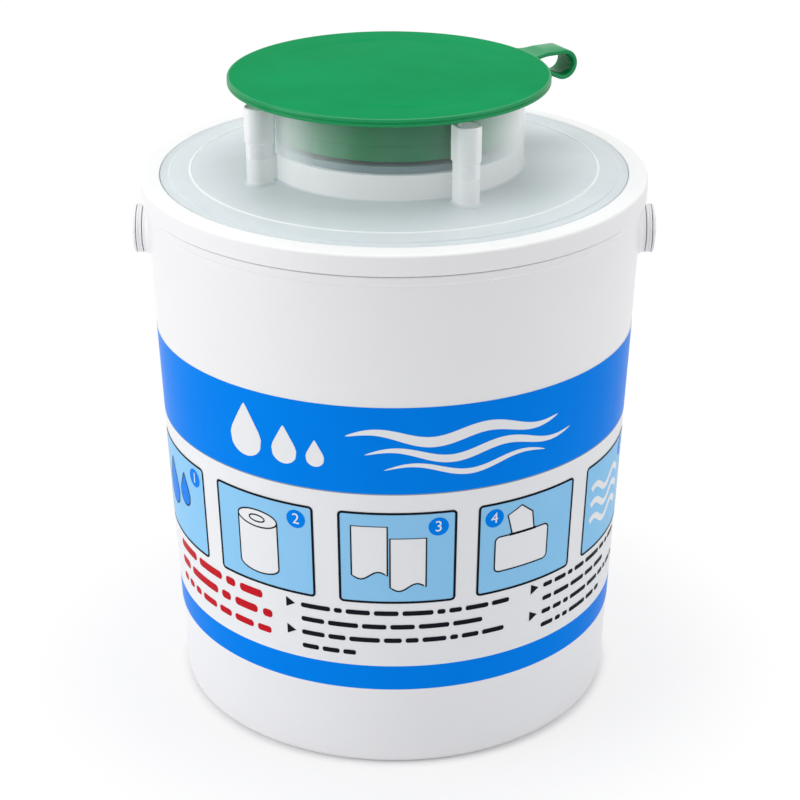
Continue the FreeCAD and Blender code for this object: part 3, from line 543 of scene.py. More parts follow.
def hoop_line():
    """Middle line of the hoop from the right eye to the left one, as (x, along) points."""
    start = math.asin(JOIN_UP / HOOP_R)
    eye_middle = (EYE_IN + EYE_OUT) / 2
    side = [(eye_middle, up) for up in (8.0, 10.0, STRAIGHT_UP)]
    join_x = HOOP_R * math.cos(start)
    for step in range(1, 12):
        share = step / 12
        out = eye_middle + (join_x - eye_middle) * float(ease(share)) - JOG * share ** 2 * (1 - share)
        side.append((out, STRAIGHT_UP + (JOIN_UP - STRAIGHT_UP) * share))
    top = arc(0, 0, HOOP_R, start, math.pi - start, 150)
    return np.array(side + top + [(-x, up) for x, up in reversed(side)])


def strip_section(inner, outer, half, corner):
    """Rounded rectangle as (out, up) pairs, always with the same number of points."""
    corners = ((outer, half, 0), (inner, half, 90), (inner, -half, 180), (outer, -half, 270))
    pairs = []
    for out, up, turn in corners:
        turn = math.radians(turn)
        pairs += arc(out - math.copysign(corner, out - (inner + outer) / 2), up - math.copysign(corner, up),
                     corner, turn, turn + math.pi / 2, 4)
    return pairs


line = hoop_line()
sections = []
for place, (x, up) in enumerate(line):
    tangent = line[min(place + 1, len(line) - 1)] - line[max(place - 1, 0)]
    tangent /= np.linalg.norm(tangent)
    outward = Vector((tangent[1], -tangent[0], 0))
    from_back = abs(math.atan2(up, x) - math.pi / 2)
    grip = float(ease((GRIP_HALF - from_back) / GRIP_RAMP))
    thin = 0.1 if up < EYE_SEAT else 0
    pairs = strip_section(-HOOP_HALF + thin, HOOP_HALF - thin + (GRIP_OUT - HOOP_HALF) * grip,
                          HOOP_WIDE + (GRIP_WIDE - HOOP_WIDE) * grip, 0.7 + 0.9 * grip)
    sections.append([lean @ (Vector((x, up, 0)) + outward * out + Vector((0, 0, height)))
                     for out, height in pairs])
hoop = lofted("bail_hoop", sections)
EYE_BORE = 5.08
eye_outline = [(EYE_BORE, EYE_IN, 0.2), (EAR_R, EYE_IN, 0.4), (EAR_R, 112.95, 0.1),
               (EAR_R - 0.5, 113.4, 0.15), (EAR_R, 113.85, 0.1), (EAR_R, EYE_OUT, 0.4),
               (EYE_BORE, EYE_OUT, 0.2)]
bail = worked(hoop, at_ears("eye", eye_outline))

# %% [markdown]
# The grip has a row of low ribs so that it doesn't slip in a wet hand. They are all alike and
# follow an arc, which is what Geometry Nodes do best: points along an arc, one small rib on each.

# %% Grip ribs
def new_tree(name, **sizes):
    """An empty geometry tree with named number inputs, and their defaults."""
    tree = bpy.data.node_groups.new(name, "GeometryNodeTree")
    add_socket = tree.interface.new_socket
    add_socket("Geometry", in_out="INPUT", socket_type="NodeSocketGeometry")
    for key, size in sizes.items():
        kind = "NodeSocketInt" if isinstance(size, int) else "NodeSocketFloat"
        add_socket(key.replace("_", " "), in_out="INPUT", socket_type=kind).default_value = size
    add_socket("Geometry", in_out="OUTPUT", socket_type="NodeSocketGeometry")
    return tree, tree.nodes.new("NodeGroupInput"), tree.nodes.new("NodeGroupOutput")


def grown(thing, tree, **sizes):
    """Runs a tree on an object with its sizes set, and keeps the plain mesh."""
    modifier = thing.modifiers.new(tree.name, "NODES")
    modifier.node_group = tree
    for item in tree.interface.items_tree:
        key = item.name.replace(" ", "_")
        if item.in_out == "INPUT" and key in sizes:
            modifier[item.identifier] = sizes[key]
    return freeze(thing)


def end_tree(tree, leaving, geometry, finish):
    """Makes instances real, sets the finish and ends the tree."""
    real = add(tree, "GeometryNodeRealizeInstances", Geometry=geometry)
    painted = add(tree, "GeometryNodeSetMaterial", Geometry=real, Material=finish)
    tree.links.new(painted.outputs[0], leaving.inputs[0])


tree, entering, leaving = new_tree("ribs_on_arc", Count=19, Radius=1.0, Spread=1.0)
bow = add(tree, "GeometryNodeCurveArc", {"mode": "RADIUS"}, Radius=entering.outputs["Radius"],
          Start_Angle=math.pi / 2, Sweep_Angle=entering.outputs["Spread"], Resolution=64)
row = add(tree, "GeometryNodeCurveToPoints", Curve=bow, Count=entering.outputs["Count"])
ribs = add(tree, "GeometryNodeInstanceOnPoints", Points=row, Instance=entering,
           Rotation=row.outputs["Rotation"])
end_tree(tree, leaving, ribs, bail_white)
RIB_SPREAD = math.radians(36)
RIB_WIDE = 0.55
RIB_PROUD = 0.42
rib = lofted("bail_grip_ribs", [
    [(x, end, z) for x, z in arc(0, 0, RIB_WIDE * size, 0, math.tau, 13, RIB_PROUD / RIB_WIDE)[:-1]]
    for end, size in ((-4.6, 0.3), (-4.3, 0.8), (-3.9, 1.0), (3.9, 1.0), (4.3, 0.8), (4.6, 0.3))])
ribs = grown(rib, tree, Radius=(HOOP_R + GRIP_OUT) * MM, Spread=RIB_SPREAD)
turn_back = Matrix.Rotation(-RIB_SPREAD / 2, 4, "Z")
ribs.data.transform(Matrix.Translation((0, 0, PIVOT * MM)) @ Matrix.Rotation(-LEAN, 4, "X") @ turn_back)
dressed(bail, bail_white, "bail", ["bail"])
dressed(ribs, bail_white, "bail")

# %% [markdown]
# ## The lid's snap ring and gasket
# The ring is a crowned web with a skirt that snaps under the neck's bead. The gasket is a thin
# foam washer on the rim. Both are plain turned outlines, so they are made like the pail.

# %% Ring and gasket
RING_IN = 103.5
FLANGE_TOP = 244.5
ring = turned("snap_ring", [
    (110.0, RING_FOOT, 0.3), (RING_R, RING_FOOT, 0.5), (RING_R, 246.2, 1.2), (RING_IN, RING_TOP, 0.6),
    (RING_IN, FLANGE_TOP, 0.15), (110.3, FLANGE_TOP, 0.5), (110.3, 238.9), (110.0, 238.1, 0.3)])
dressed(ring, ring_white, "lid", ["lid_ring"])

gasket_grey, place = new_finish("gasket_foam", Roughness=0.85, Specular_IOR_Level=0.25)
cells = place.noise(1400, 3)
feed(gasket_grey, Base_Color=cells.mix(colour(205, 206, 208), colour(228, 229, 230)),
     Normal=cells.bump(0.5, 0.0003))
GASKET_IN = 107.15
GASKET_OUT = 108.75
GASKET_TOP = RIM + 0.8
gasket = turned("foam_gasket", [(GASKET_IN, RIM, 0.2), (GASKET_OUT, RIM, 0.2), (GASKET_OUT, GASKET_TOP, 0.2),
                                (GASKET_IN, GASKET_TOP, 0.2)])
dressed(gasket, gasket_grey, "lid", ["rim_gasket"])

# %% [markdown]
# ## The translucent lid plate
# The plate is natural polypropylene: milky, a little blue-grey, and clear enough to show the
# green plug through the collar. A clear glass shader would look wet and a white one dead, so this
# one mixes a milky white with a rough clear share. The collar in front of the plug is the clearest,
# and it turns milky towards its edges, where light takes a longer way through the wall.
# The plate and collar are turned. Each post is lofted, with a flare where it meets the
# plate, and welded on before its socket is cut. The photograph shows the bare plate under the
# strap, so the post there is only a short boss on the collar.

# %% Translucent plastic
COLLAR_R = 57.2
INSERT_FOOT_AT = 0.2609
PLATE_TOP_AT = 0.2500
# Radii of the fine rib on the plate, where a pale line is painted as a painted highlight.
RIB_HIGHLIGHT_AT = (0.0893, 0.0907)
FADE = 0.0003
# The clear share's tint is partly the plastic's own blue-grey and partly painted shade, darker so that the
# plug under the cap looks shaded.
CLEAR_TINT_AND_PAINTED_SHADE = (0.66, 0.77, 0.80, 1)
SHADOW_TINT = (0.93, 0.94, 0.94, 1)
lid_milky, place = new_finish("translucent_lid_plastic", IOR=1.35, Specular_IOR_Level=0.35)
tree = lid_milky.node_tree
milk = place.noise(22, 4)
from_axis = place.off_axis()
height = place.part("Z")
beyond_collar = from_axis.step((COLLAR_R + 0.2) * MM, (COLLAR_R + 1.0) * MM)
above_insert = height.step(INSERT_FOOT_AT, INSERT_FOOT_AT + 0.0009)
# Painted light: the collar and posts above the plate get a paler colour, in place of the light that comes
# through their translucent walls.
painted_light_above_plate = height.step(PLATE_TOP_AT, PLATE_TOP_AT + 0.0008)
# A painted highlight: the fine rib gets the same pale colour as the painted light above the plate.
painted_highlight_on_rib = (from_axis.step(RIB_HIGHLIGHT_AT[0], RIB_HIGHLIGHT_AT[0] + FADE)
             * (1.0 - from_axis.step(RIB_HIGHLIGHT_AT[1] - FADE, RIB_HIGHLIGHT_AT[1])))
wet_gloss = (place.noise(500, 2) * 0.25 + place.noise(45, 2, (1, 1, 0.3)) * 1.0).bump(0.08, 0.0005)
# The paler pair of colours is painted light on the collar, posts and fine rib; the darker pair is the
# plate's own milky tone.
feed(lid_milky,
     Base_Color=(painted_light_above_plate + painted_highlight_on_rib).mix(milk.mix(colour(219, 226, 230), colour(227, 234, 237)),
                                              milk.mix(colour(249, 252, 252), colour(253, 254, 254))),
     Roughness=0.22 + beyond_collar * 0.10 + (place.noise(130, 3) - 0.5) * 0.08,
     Normal=wet_gloss)
# The clear share carries painted shade in its tint, which dims the plug seen through the collar.
clear = add(tree, "ShaderNodeBsdfPrincipled", Base_Color=CLEAR_TINT_AND_PAINTED_SHADE, Transmission_Weight=1.0,
            Roughness=0.12, IOR=1.12, Normal=wet_gloss)
lit_through = add(tree, "ShaderNodeBsdfTransparent", Color=SHADOW_TINT)
edge_on = place.node("ShaderNodeLayerWeight", output=1, Blend=0.5)
longer_way = edge_on.step(0.0, 0.9) * above_insert * 0.95
milkiness = (0.04 + (1.0 - above_insert) * 0.82 + above_insert * beyond_collar * 0.62 + longer_way
             + (place.noise(60, 2, (1, 1, 0.15)) - 0.5) * 0.08)
body_mix = add(tree, "ShaderNodeMixShader",
               sockets={0: milkiness.at_most(0.95), 1: clear, 2: tree.nodes["Principled BSDF"]})
shadow_ray = add(tree, "ShaderNodeLightPath").outputs["Is Shadow Ray"]
surface(tree, add(tree, "ShaderNodeMixShader", sockets={0: shadow_ray, 1: body_mix, 2: lit_through}))
print("plastics:", pail_white.name, ring_white.name, bail_white.name, lid_milky.name)

# %% Lid plate
SEAL_FOOT = 236.0
COLLAR_IN = 55.7
CROWN = 249.7
POST_OUT = 65.8
POST_TOP = 283.5
SOCKET_FLOOR = 269.5
plate = turned("lid_plate_shell", [
    (105.3, SEAL_FOOT, 0.4), (106.6, SEAL_FOOT, 0.4), (106.6, 243.2, 0.2), (108.9, 243.2, 0.2),
    (108.9, FLANGE_TOP, 0.2), (103.2, FLANGE_TOP, 0.15), (103.2, 246.9, 0.4), (99.5, 246.9, 0.3),
    (99.1, 247.6, 0.35), (90.6, 248.04, 0.3), (90.3, 248.4, 0.15), (89.7, 248.43, 0.15), (89.4, 248.1, 0.3),
    (COLLAR_R, CROWN, 0.9), (COLLAR_R, COLLAR_TOP, 0.45), (COLLAR_IN, COLLAR_TOP, 0.45),
    (COLLAR_IN, 261.7, 0.15), (54.2, 261.7, 0.4), (54.2, 259.9, 0.3), (COLLAR_IN, 258.4, 0.4),
    (COLLAR_IN, 248.2, 0.8), (99.4, 246.1, 0.6), (101.7, 245.4, 0.4), (101.7, 243.2, 0.3),
    (105.3, 243.2, 0.3)])


def post_section(radius, height, azimuth):
    """Outline of a post at one height: a thin web to the collar, a flat back and a half round front."""
    collar = (COLLAR_R + COLLAR_IN) / 2
    back = POST_OUT - radius
    half = [(collar, POST_WEB), (back - 0.25, POST_WEB), (back, POST_WEB + 0.25), (back, radius - 0.6)]
    half += [(back + 0.18, radius - 0.18), (back + 0.6, radius)]
    half += arc(POST_OUT, 0, radius, math.pi / 2, 0, 17)
    outline = half + [(out, -across) for out, across in reversed(half[:-1])]
    return [strap_side(out, across, height, azimuth) for out, across in outline]


STEM_R = 5.0
HEAD_R = 5.5
POST_WEB = 0.8
SOCKET_R = 4.5
foot_run = [(248.2, STEM_R + 1.0), (249.35, STEM_R + 1.0), (249.6, STEM_R + 0.6), (250.0, STEM_R + 0.3),
            (250.6, STEM_R + 0.08), (251.2, STEM_R), (267.3, STEM_R)]
head_run = [(267.6, STEM_R + 0.05), (268.1, HEAD_R - 0.08), (268.6, HEAD_R), (282.8, HEAD_R),
            (283.2, HEAD_R - 0.1), (283.42, HEAD_R - 0.25), (POST_TOP, HEAD_R - 0.45)]
SOCKET_MOUTH = SOCKET_R + 0.25
socket = [(0, SOCKET_FLOOR), (SOCKET_R, SOCKET_FLOOR, 0.5), (SOCKET_R, 283.1), (SOCKET_MOUTH, 283.7),
          (SOCKET_MOUTH, 286), (0, 286)]
posts = []
sockets = []
for quarter in range(4):
    azimuth = STRAP_TURN + quarter * math.pi / 2
    post_run = foot_run + head_run if quarter else head_run[1:]
    posts.append(lofted("post", [post_section(radius, height, azimuth) for height, radius in post_run]))
    middle = strap_side(POST_OUT, 0, 0, azimuth).xy
    sockets.append(turned("socket", socket, middle, steps=64))
GATE_AT = (-35.0, -71.0)
gate = turned("gate", [(0, 247.9), (1.1, 247.9), (1.1, 248.75, 0.2), (0, 248.75)], GATE_AT, steps=32)
plate = worked(plate, posts + [gate], sockets)
dressed(plate, lid_milky, "lid", ["lid_plate"])

# %% [markdown]
# ## The dispensing insert
# A grey membrane with a hole and a star of slits grips the wipe while the next one tears off at
# its perforation. The tongues between the slits stand up a little, because wipes are
# pulled through them. They are cut first and then bent.

# %% Insert
insert_grey, place = new_finish("insert_grey_plastic", Roughness=0.42, Specular_IOR_Level=0.45)
grain = place.noise(800, 3)
feed(insert_grey, Base_Color=place.noise(35, 3).mix(colour(150, 158, 157), colour(165, 171, 170)),
     Normal=grain.bump(0.25, 0.0003))
HOLE_R = 5.0
STAR_R = 20.0
WEB_LOW = 262.6
WEB_HIGH = 263.8
WEB_OUT = 52.6
SLIT_HALF = 0.45
web_rings = [11.0, 14.0, 17.0, STAR_R, 24.0]
insert = turned("wipe_insert",
                [(HOLE_R, WEB_LOW, 0.25)] + [(r, WEB_LOW) for r in web_rings]
                + [(WEB_OUT, WEB_LOW, 0.4), (WEB_OUT, INSERT_LOW, 0.25), (55.6, INSERT_LOW, 0.4),
                   (55.6, INSERT_HIGH, 0.5), (WEB_OUT, INSERT_HIGH, 0.4), (WEB_OUT, WEB_HIGH, 0.4)]
                + [(r, WEB_HIGH) for r in reversed(web_rings)] + [(HOLE_R, WEB_HIGH, 0.25)])
half_slit = [(2.0, -SLIT_HALF), (STAR_R - SLIT_HALF, -SLIT_HALF), (STAR_R - 0.1, -0.25)]
slit_outline = half_slit + [(STAR_R, 0)] + [(out, -across) for out, across in reversed(half_slit)]
slits = []
for eighth in range(8):
    azimuth = eighth * math.pi / 4
    slits.append(lofted("slit", [[strap_side(out, across, height, azimuth) for out, across in slit_outline]
                                 for height in (WEB_LOW - 0.6, WEB_HIGH + 0.6)]))
insert = worked(insert, cuts=slits)
TONGUE_RISE = 2.6
for vertex in insert.data.vertices:
    out = vertex.co.xy.length / MM
    vertex.co.z += TONGUE_RISE * MM * float(ease((STAR_R - out) / (STAR_R - HOLE_R)))
dressed(insert, insert_grey, "lid", ["dispensing_insert"])

# %% [markdown]
# ## The green cap
# The cap's disc sits off the collar's axis, which leaves a lip on one side for a finger. Its
# plug, its two-bead rim and the strap's tab come out of one mould, so the tab is lofted with
# concave flares and welded to the turned disc. The strong green has a soft gloss that shows long pale
# streaks, so its roughness and its surface both wander slowly.

# %% Green plastic
CAP_SHIFT = 2.4
cap_green, place = new_finish("cap_green_plastic", Specular_IOR_Level=0.004, Coat_Roughness=0.10)
slow = place.noise(26, 3)
hairline = (place.noise(420, 4, (0.25, 3.0, 1.0)).step(0.64, 0.70)
            + place.noise(420, 4, (3.0, 0.25, 1.0)).step(0.66, 0.72))
rim_share = place.off_axis(tuple(strap_side(-CAP_SHIFT, 0, 0) * MM)).step(0.0692, 0.0698)
feed(cap_green,
     Coat_Weight=rim_share * 0.5,
     Base_Color=slow.step(0.3, 0.7).mix(colour(0, 144, 82), colour(0, 151, 88)),
     Roughness=0.30 + (place.noise(90, 3) - 0.5) * 0.10 + hairline * 0.08,
     Normal=(place.noise(1100, 2) * 0.15 + slow * 0.8 - hairline * 0.12).bump(0.05, 0.0005))

# %% Cap
CAP_R = 70.5
CAP_UNDER = 288.1
CAP_TOP = 289.9
LIP_FOOT = 286.5
disc_middle = strap_side(-CAP_SHIFT, 0, 0).xy
disc = turned("cap_moulding", [
    (0, CAP_UNDER), (CAP_R - 1.6, CAP_UNDER, 0.5), (CAP_R - 1.6, LIP_FOOT, 0.35), (CAP_R, LIP_FOOT, 0.6),
    (CAP_R, 287.75, 0.3), (CAP_R - 0.55, 288.15, 0.2), (CAP_R, 288.55, 0.3), (CAP_R, CAP_TOP, 0.75),
    (0, CAP_TOP)], disc_middle)
plug = turned("plug", [
    (52.4, 266.1, 0.5), (54.0, 266.1, 0.6), (54.0, 272.5, 0.3), (54.9, 273.5, 0.35), (54.6, 274.5, 0.3),
    (54.6, 289.0), (53.0, 289.0), (53.0, 274.5, 1.0), (52.4, 272.5, 1.0)])
sink = turned("sink", [(52.9, 289.93), (53.8, 289.72), (54.7, 289.93), (53.8, 290.3)])

TAB_END = 75.5
LOOP_TOP = 290.6
STRAP_THICK = 1.9
STRAP_HALF = 7.0
CAP_NEAR = CAP_R - CAP_SHIFT
TAB_ROOT = CAP_NEAR - 5.0
STRAP_CORNER = 0.45
TAB_FLARE = 4.6
tab_sections = []
for out in np.linspace(TAB_ROOT, TAB_END, 22):
    rise = max(out - CAP_NEAR, 0) / (TAB_END - CAP_NEAR)
    top = CAP_TOP + (LOOP_TOP - CAP_TOP) * float(ease(rise))
    half_wide = STRAP_HALF + TAB_FLARE * ((TAB_END - out) / (TAB_END - TAB_ROOT)) ** 2.4
    half_thick = (STRAP_THICK - 0.1 * (1 - rise)) / 2
    tab_sections.append([strap_side(out, across, top - half_thick + up) for up, across
                         in strip_section(-half_thick, half_thick, half_wide, STRAP_CORNER)])
tab = lofted("tab", tab_sections)
cap = worked(disc, [plug, tab], [sink])
dressed(cap, cap_green, "cap", ["cap"])

# %% [markdown]
# ## The strap and its peg
# The strap is the same shot of plastic, thin enough to bend: from the tab it turns down in an open
# loop, climbs back beside the post and ends in a peg in the post's socket. The loop is made in
# place and rides on no body; the peg and the ribbon that climbs to it stay with the lid.

# %% Strap loop
LOOP_OUT = 83.2
LOOP_UP = 283.8
LOOP_MID_R = 5.85
STRAP_END = 76.96
TURN_OFF = math.radians(25)


def ribbon(name, path, half=STRAP_HALF, thick=STRAP_THICK):
    """A flat strap along a path of (out, up) points."""
    path = np.array(path, float)
    rows = []
    for place, (out, up) in enumerate(path):
        run = path[min(place + 1, len(path) - 1)] - path[max(place - 1, 0)]
        run /= np.linalg.norm(run)
        rows.append([strap_side(out - run[1] * side, across, up + run[0] * side)
                     for side, across in strip_section(-thick / 2, thick / 2, half, STRAP_CORNER)])
    return lofted(name, rows)


def loop_radius(angle):
    """The loop opens a little towards its top, as a bent strap does."""
    return LOOP_MID_R - 0.25 * (1 - math.sin(angle)) / 2 * (1 + math.cos(angle)) / 2


turn_off = -math.pi / 2 - TURN_OFF
loop_path = [(TAB_END + step * (LOOP_OUT - TAB_END) / 8, LOOP_UP + LOOP_MID_R) for step in range(8)]
for angle in np.linspace(math.pi / 2, turn_off, 44):
    radius = loop_radius(angle)
    loop_path.append((LOOP_OUT + radius * math.cos(angle), LOOP_UP + radius * math.sin(angle)))
leg_out, leg_up = loop_path[-1]
for step in range(1, 5):
    out = leg_out + (STRAP_END - leg_out) * step / 4
    loop_path.append((out, leg_up + (leg_out - out) * math.tan(TURN_OFF)))
strap = ribbon("strap_loop", loop_path)
leg_end = loop_path[-1]
strap.data.materials.append(cap_green)
strap.data.shade_smooth()
strap.data.set_sharp_from_angle(angle=math.radians(50))
strap_side(leg_end[0], 0, leg_end[1]) * MM
strap_side(leg_end[0], 0, LOOP_UP + LOOP_MID_R) * MM
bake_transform(strap)
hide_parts("cap_strap")
print("strap loop:", len(strap.data.polygons), "faces")

# %% Strap anchor
PLATE_OUT = 72.65
HEAD_UP = 284.45
climb = leg_end[1] + (STRAP_END - PLATE_OUT) * math.tan(TURN_OFF)
anchor_path = rounded([leg_end, (PLATE_OUT, climb, 1.4), (PLATE_OUT, HEAD_UP, 1.25), (POST_OUT, HEAD_UP)],
                      closed=False)
anchor = ribbon("strap_peg", anchor_path)
post_middle = strap_side(POST_OUT, 0, 0).xy
peg_head = turned("head", [(0, POST_TOP), (STRAP_HALF, POST_TOP, 0.4), (STRAP_HALF, 285.4, 0.5), (0, 285.4)],
                  post_middle, steps=96)
PEG_R = SOCKET_R - 0.15
peg = turned("peg", [(0, 270.1), (PEG_R, 270.1, 0.7), (PEG_R, 284.3), (0, 284.3)], post_middle, steps=64)
anchor = worked(anchor, [peg_head, peg])
dressed(anchor, cap_green, "lid", ["strap_anchor"])

# %% [markdown]
# ## The wound roll
# The roll is one strip of nonwoven, about twenty-four metres long, wound without a core, and
# pulled from its middle. Concentric tubes would be easier, but a Geometry Nodes spiral is the real
# thing: one curve, a thin upright rectangle swept along it, and a little noise that lifts some turns.

# %% Nonwoven
nonwoven, place = new_finish("nonwoven_wipe", Roughness=0.95, Specular_IOR_Level=0.15, Sheen_Weight=0.25)
fibres = place.noise(1500, 4, (1, 1, 0.25)) + place.noise(1500, 4, (0.3, 0.3, 1.4))
damp = place.noise(30, 3)
feed(nonwoven, Base_Color=(fibres * 0.5).step(0.35, 0.7).mix(colour(226, 229, 232), colour(246, 247, 248)),
     Roughness=0.95 - damp * 0.2, Normal=fibres.bump(0.45, 0.0004))

# %% Wipe roll
TURNS = 66
WIPE_THICK = 0.45
ROLL_CORE = 24.0
ROLL_PLAY = 0.3
tree, entering, leaving = new_tree("wound_strip", Turns=1.0, Core=1.0, Outside=1.0, Strip_Width=1.0,
                                   Strip_Thickness=1.0, Lift=1.0)
size = entering.outputs
spiral = add(tree, "GeometryNodeCurveSpiral", Resolution=64, Rotations=size["Turns"],
             Start_Radius=size["Core"], End_Radius=size["Outside"], Height=0.0)
point = Value(tree, add(tree, "GeometryNodeInputPosition").outputs[0])
lift = point.node("ShaderNodeTexNoise", Vector=point, Scale=38.0, Detail=2.0) * size["Lift"]
raised = point.node("ShaderNodeCombineXYZ", Z=lift)
uneven = add(tree, "GeometryNodeSetPosition", Geometry=spiral, Offset=raised)
upright = add(tree, "GeometryNodeSetCurveNormal", {"mode": "Z_UP"}, Curve=uneven)
band = add(tree, "GeometryNodeCurvePrimitiveQuadrilateral", Width=size["Strip Thickness"],
           Height=size["Strip Width"])
wound = add(tree, "GeometryNodeCurveToMesh", Curve=upright, Profile_Curve=band, Fill_Caps=True)
end_tree(tree, leaving, wound, nonwoven)
EDGE_LIFT = 1.2
strip_width = ROLL_HIGH - ROLL_LOW - EDGE_LIFT
roll = grown(solid("wipe_roll_wound", [(0, 0, 0)], []), tree, Turns=float(TURNS),
             Core=(ROLL_CORE + ROLL_PLAY) * MM, Outside=(ROLL_R - ROLL_PLAY) * MM,
             Strip_Width=strip_width * MM, Strip_Thickness=WIPE_THICK * MM, Lift=EDGE_LIFT * MM)
roll.data.transform(Matrix.Translation((0, 0, (ROLL_LOW + strip_width / 2) * MM)))
dressed(roll, nonwoven, "pail", ["wipe_roll"])

# %% [markdown]
# ## The loose end
# The end of the strip comes up through the insert, squeezed to the hole, and opens above it. Cloth
# keeps its width, so at every height the pleats are as deep as it takes to hold the strip's full
# width inside the outline, and the depth is found by halving.

# %% Wipe tail
PLEATS = 19
PER_PLEAT = 10
PLY = 0.25
tail_outline = ((TAIL_LOW, 9.0), (232.0, 6.4), (258.6, 4.4), (267.8, 4.4), (272.5, 9.0), (278.5, 14.6),
                (TAIL_HIGH, 12.6))


def tail_reach(height):
    """Outside of the gathered wipe at a height."""
    for (low, first), (high, second) in zip(tail_outline, tail_outline[1:]):
        if height <= high:
            return first + (second - first) * float(ease((height - low) / (high - low)))
    return tail_outline[-1][1]


def pleated(height, depth, shares):
    """Points across the wipe at one height, with pleats of the given depth."""
    outside = tail_reach(height)
    spread = float(ease((height - 268) / 10)) + float(ease((250 - height) / 60))
    angles = shares * math.tau * 0.955 + 0.5 * math.sin(height / 21)
    wave = np.cos(shares * PLEATS * math.tau + 0.9 * np.sin(shares * 15 + height / 30))
    uneven = 1 - 0.22 * spread * (0.5 + 0.5 * np.sin(shares * 23.0 + height / 9))
    radius = np.maximum((outside - depth) + depth * wave, 0.25) * uneven
    return np.stack([radius * np.cos(angles), radius * np.sin(angles)], 1)


random.seed(7)
shares = np.linspace(0, 1, PLEATS * PER_PLEAT + 1)
ragged = np.interp(shares, np.linspace(0, 1, 24), [random.uniform(0, 4.5) for _ in range(24)])
ROWS = 64
tail_points = []
for row in range(ROWS):
    height = TAIL_LOW + (TAIL_HIGH - TAIL_LOW) * row / (ROWS - 1)
    shallow, deep = 0.0, 0.5 * tail_reach(height)
    for _ in range(24):
        depth = (shallow + deep) / 2
        steps_long = np.linalg.norm(np.diff(pleated(height, depth, shares), axis=0), axis=1).sum()
        shallow, deep = (depth, deep) if steps_long < strip_width else (shallow, depth)
    flat_row = pleated(height, depth, shares)
    drop = ragged * float(ease((height - 270) / (TAIL_HIGH - 270)))
    tail_points += [(x, y, height - down) for (x, y), down in zip(flat_row, drop)]
columns = len(shares)
tail = solid("wipe_tail_gathered", tail_points, [
    (row * columns + k, row * columns + k + 1, (row + 1) * columns + k + 1, (row + 1) * columns + k)
    for row in range(ROWS - 1) for k in range(columns - 1)])
dressed(thickened(tail, PLY, 0), nonwoven, "lid", ["wipe_tail"], crease=80)

# %% [markdown]
# ## The label
# The label is a printed film wrapped round the wall, with a narrow gap at the back. The film is
# one thin closed sleeve with rows of faces where its colours change, so the edges of the blue bands
# are as crisp as print. What is printed on it is generic: drops, waves, plain panels with
# numbers, and bars in place of words.

# %% Inks
def ink(name, tone, darker):
    finish, place = new_finish(name, Specular_IOR_Level=0.015)
    feed(finish, Base_Color=place.noise(55, 3).mix(tone, darker),
         Roughness=0.30 + (place.noise(300, 2) - 0.5) * 0.10,
         Normal=(place.noise(45, 2) * 1.0 + place.noise(1300, 2) * 0.15).bump(0.04, 0.0005))
    return finish


label_white = ink("label_white", colour(246, 247, 249), colour(241, 243, 246))
label_blue = ink("label_blue", colour(0, 137, 248), colour(0, 130, 242))
label_grey = ink("label_grey_line", colour(150, 160, 172), colour(142, 152, 165))
panel_blue = ink("panel_light_blue", colour(152, 212, 252), colour(146, 207, 250))
line_ink = ink("line_ink", colour(24, 27, 34), colour(30, 33, 41))
text_red = ink("red_ink", colour(206, 32, 44), colour(198, 28, 40))
print("inks:", len((label_white, label_blue, label_grey, panel_blue, line_ink, text_red)))

# %% Label film
LABEL_UNDER = 0.05
LABEL_OVER = 0.25
LOW_BAND_TOP = 51.9
HIGH_BAND_FOOT = 137.8
GREY_LINE = 0.5
SEAM_HALF = math.radians(3)
film_rows = [(LABEL_LOW, 1), (LOW_BAND_TOP, 0), (HIGH_BAND_FOOT - GREY_LINE, 2), (HIGH_BAND_FOOT, 1),
             (LABEL_HIGH, 0)]
film_loop = [(height, LABEL_OVER, ink_row) for height, ink_row in film_rows]
film_loop += [(height, LABEL_UNDER, 0) for height, _ in reversed(film_rows)]
film_angles = np.linspace(math.pi / 2 + SEAM_HALF, math.pi / 2 + math.tau - SEAM_HALF, STEPS + 1)
film = lofted("label_film", [[strap_side(wall(height) + over, 0, height, angle)
                              for height, over, _ in film_loop] for angle in film_angles])
for finish in (label_white, label_blue, label_grey):
    film.data.materials.append(finish)
film.data.polygons.foreach_set("material_index", [0, 0] + [ink_row for _, _, ink_row in film_loop] * STEPS)
dressed(film, None, "pail", ["label"])

# %% [markdown]
# ## Printing on a cone
# The print is drawn flat, in millimetres across and up. Each shape is cut into narrow upright
# strips, and a small Geometry Nodes tree then wraps the sheet: across becomes an angle, and the
# height gives the tapered wall's radius. A texture could do this too, but real shapes keep their
# edges sharp.

# %% Wrapping tree
ART_REACH = 105.0
wrap, entering, leaving = new_tree("wrap_on_wall", Foot_Radius=1.0, Slope=1.0, Turn_Per_Metre=1.0, Lift=1.0)
flat = Value(wrap, add(wrap, "GeometryNodeInputPosition").outputs[0])
foot, slope, turn_per_metre, lift = (Value(wrap, socket) for socket in entering.outputs[1:5])
angle = flat.part("X") * turn_per_metre - math.pi / 2
radius = foot + slope * flat.part("Z") + lift
bent = flat.node("ShaderNodeCombineXYZ", X=radius * angle.maths("COSINE", angle),
                 Y=radius * angle.maths("SINE", angle), Z=flat.part("Z"))
moved = add(wrap, "GeometryNodeSetPosition", Geometry=entering, Position=bent)
end_tree(wrap, leaving, moved, label_white)
STRIP = 2.2
INK_THICK = 0.02


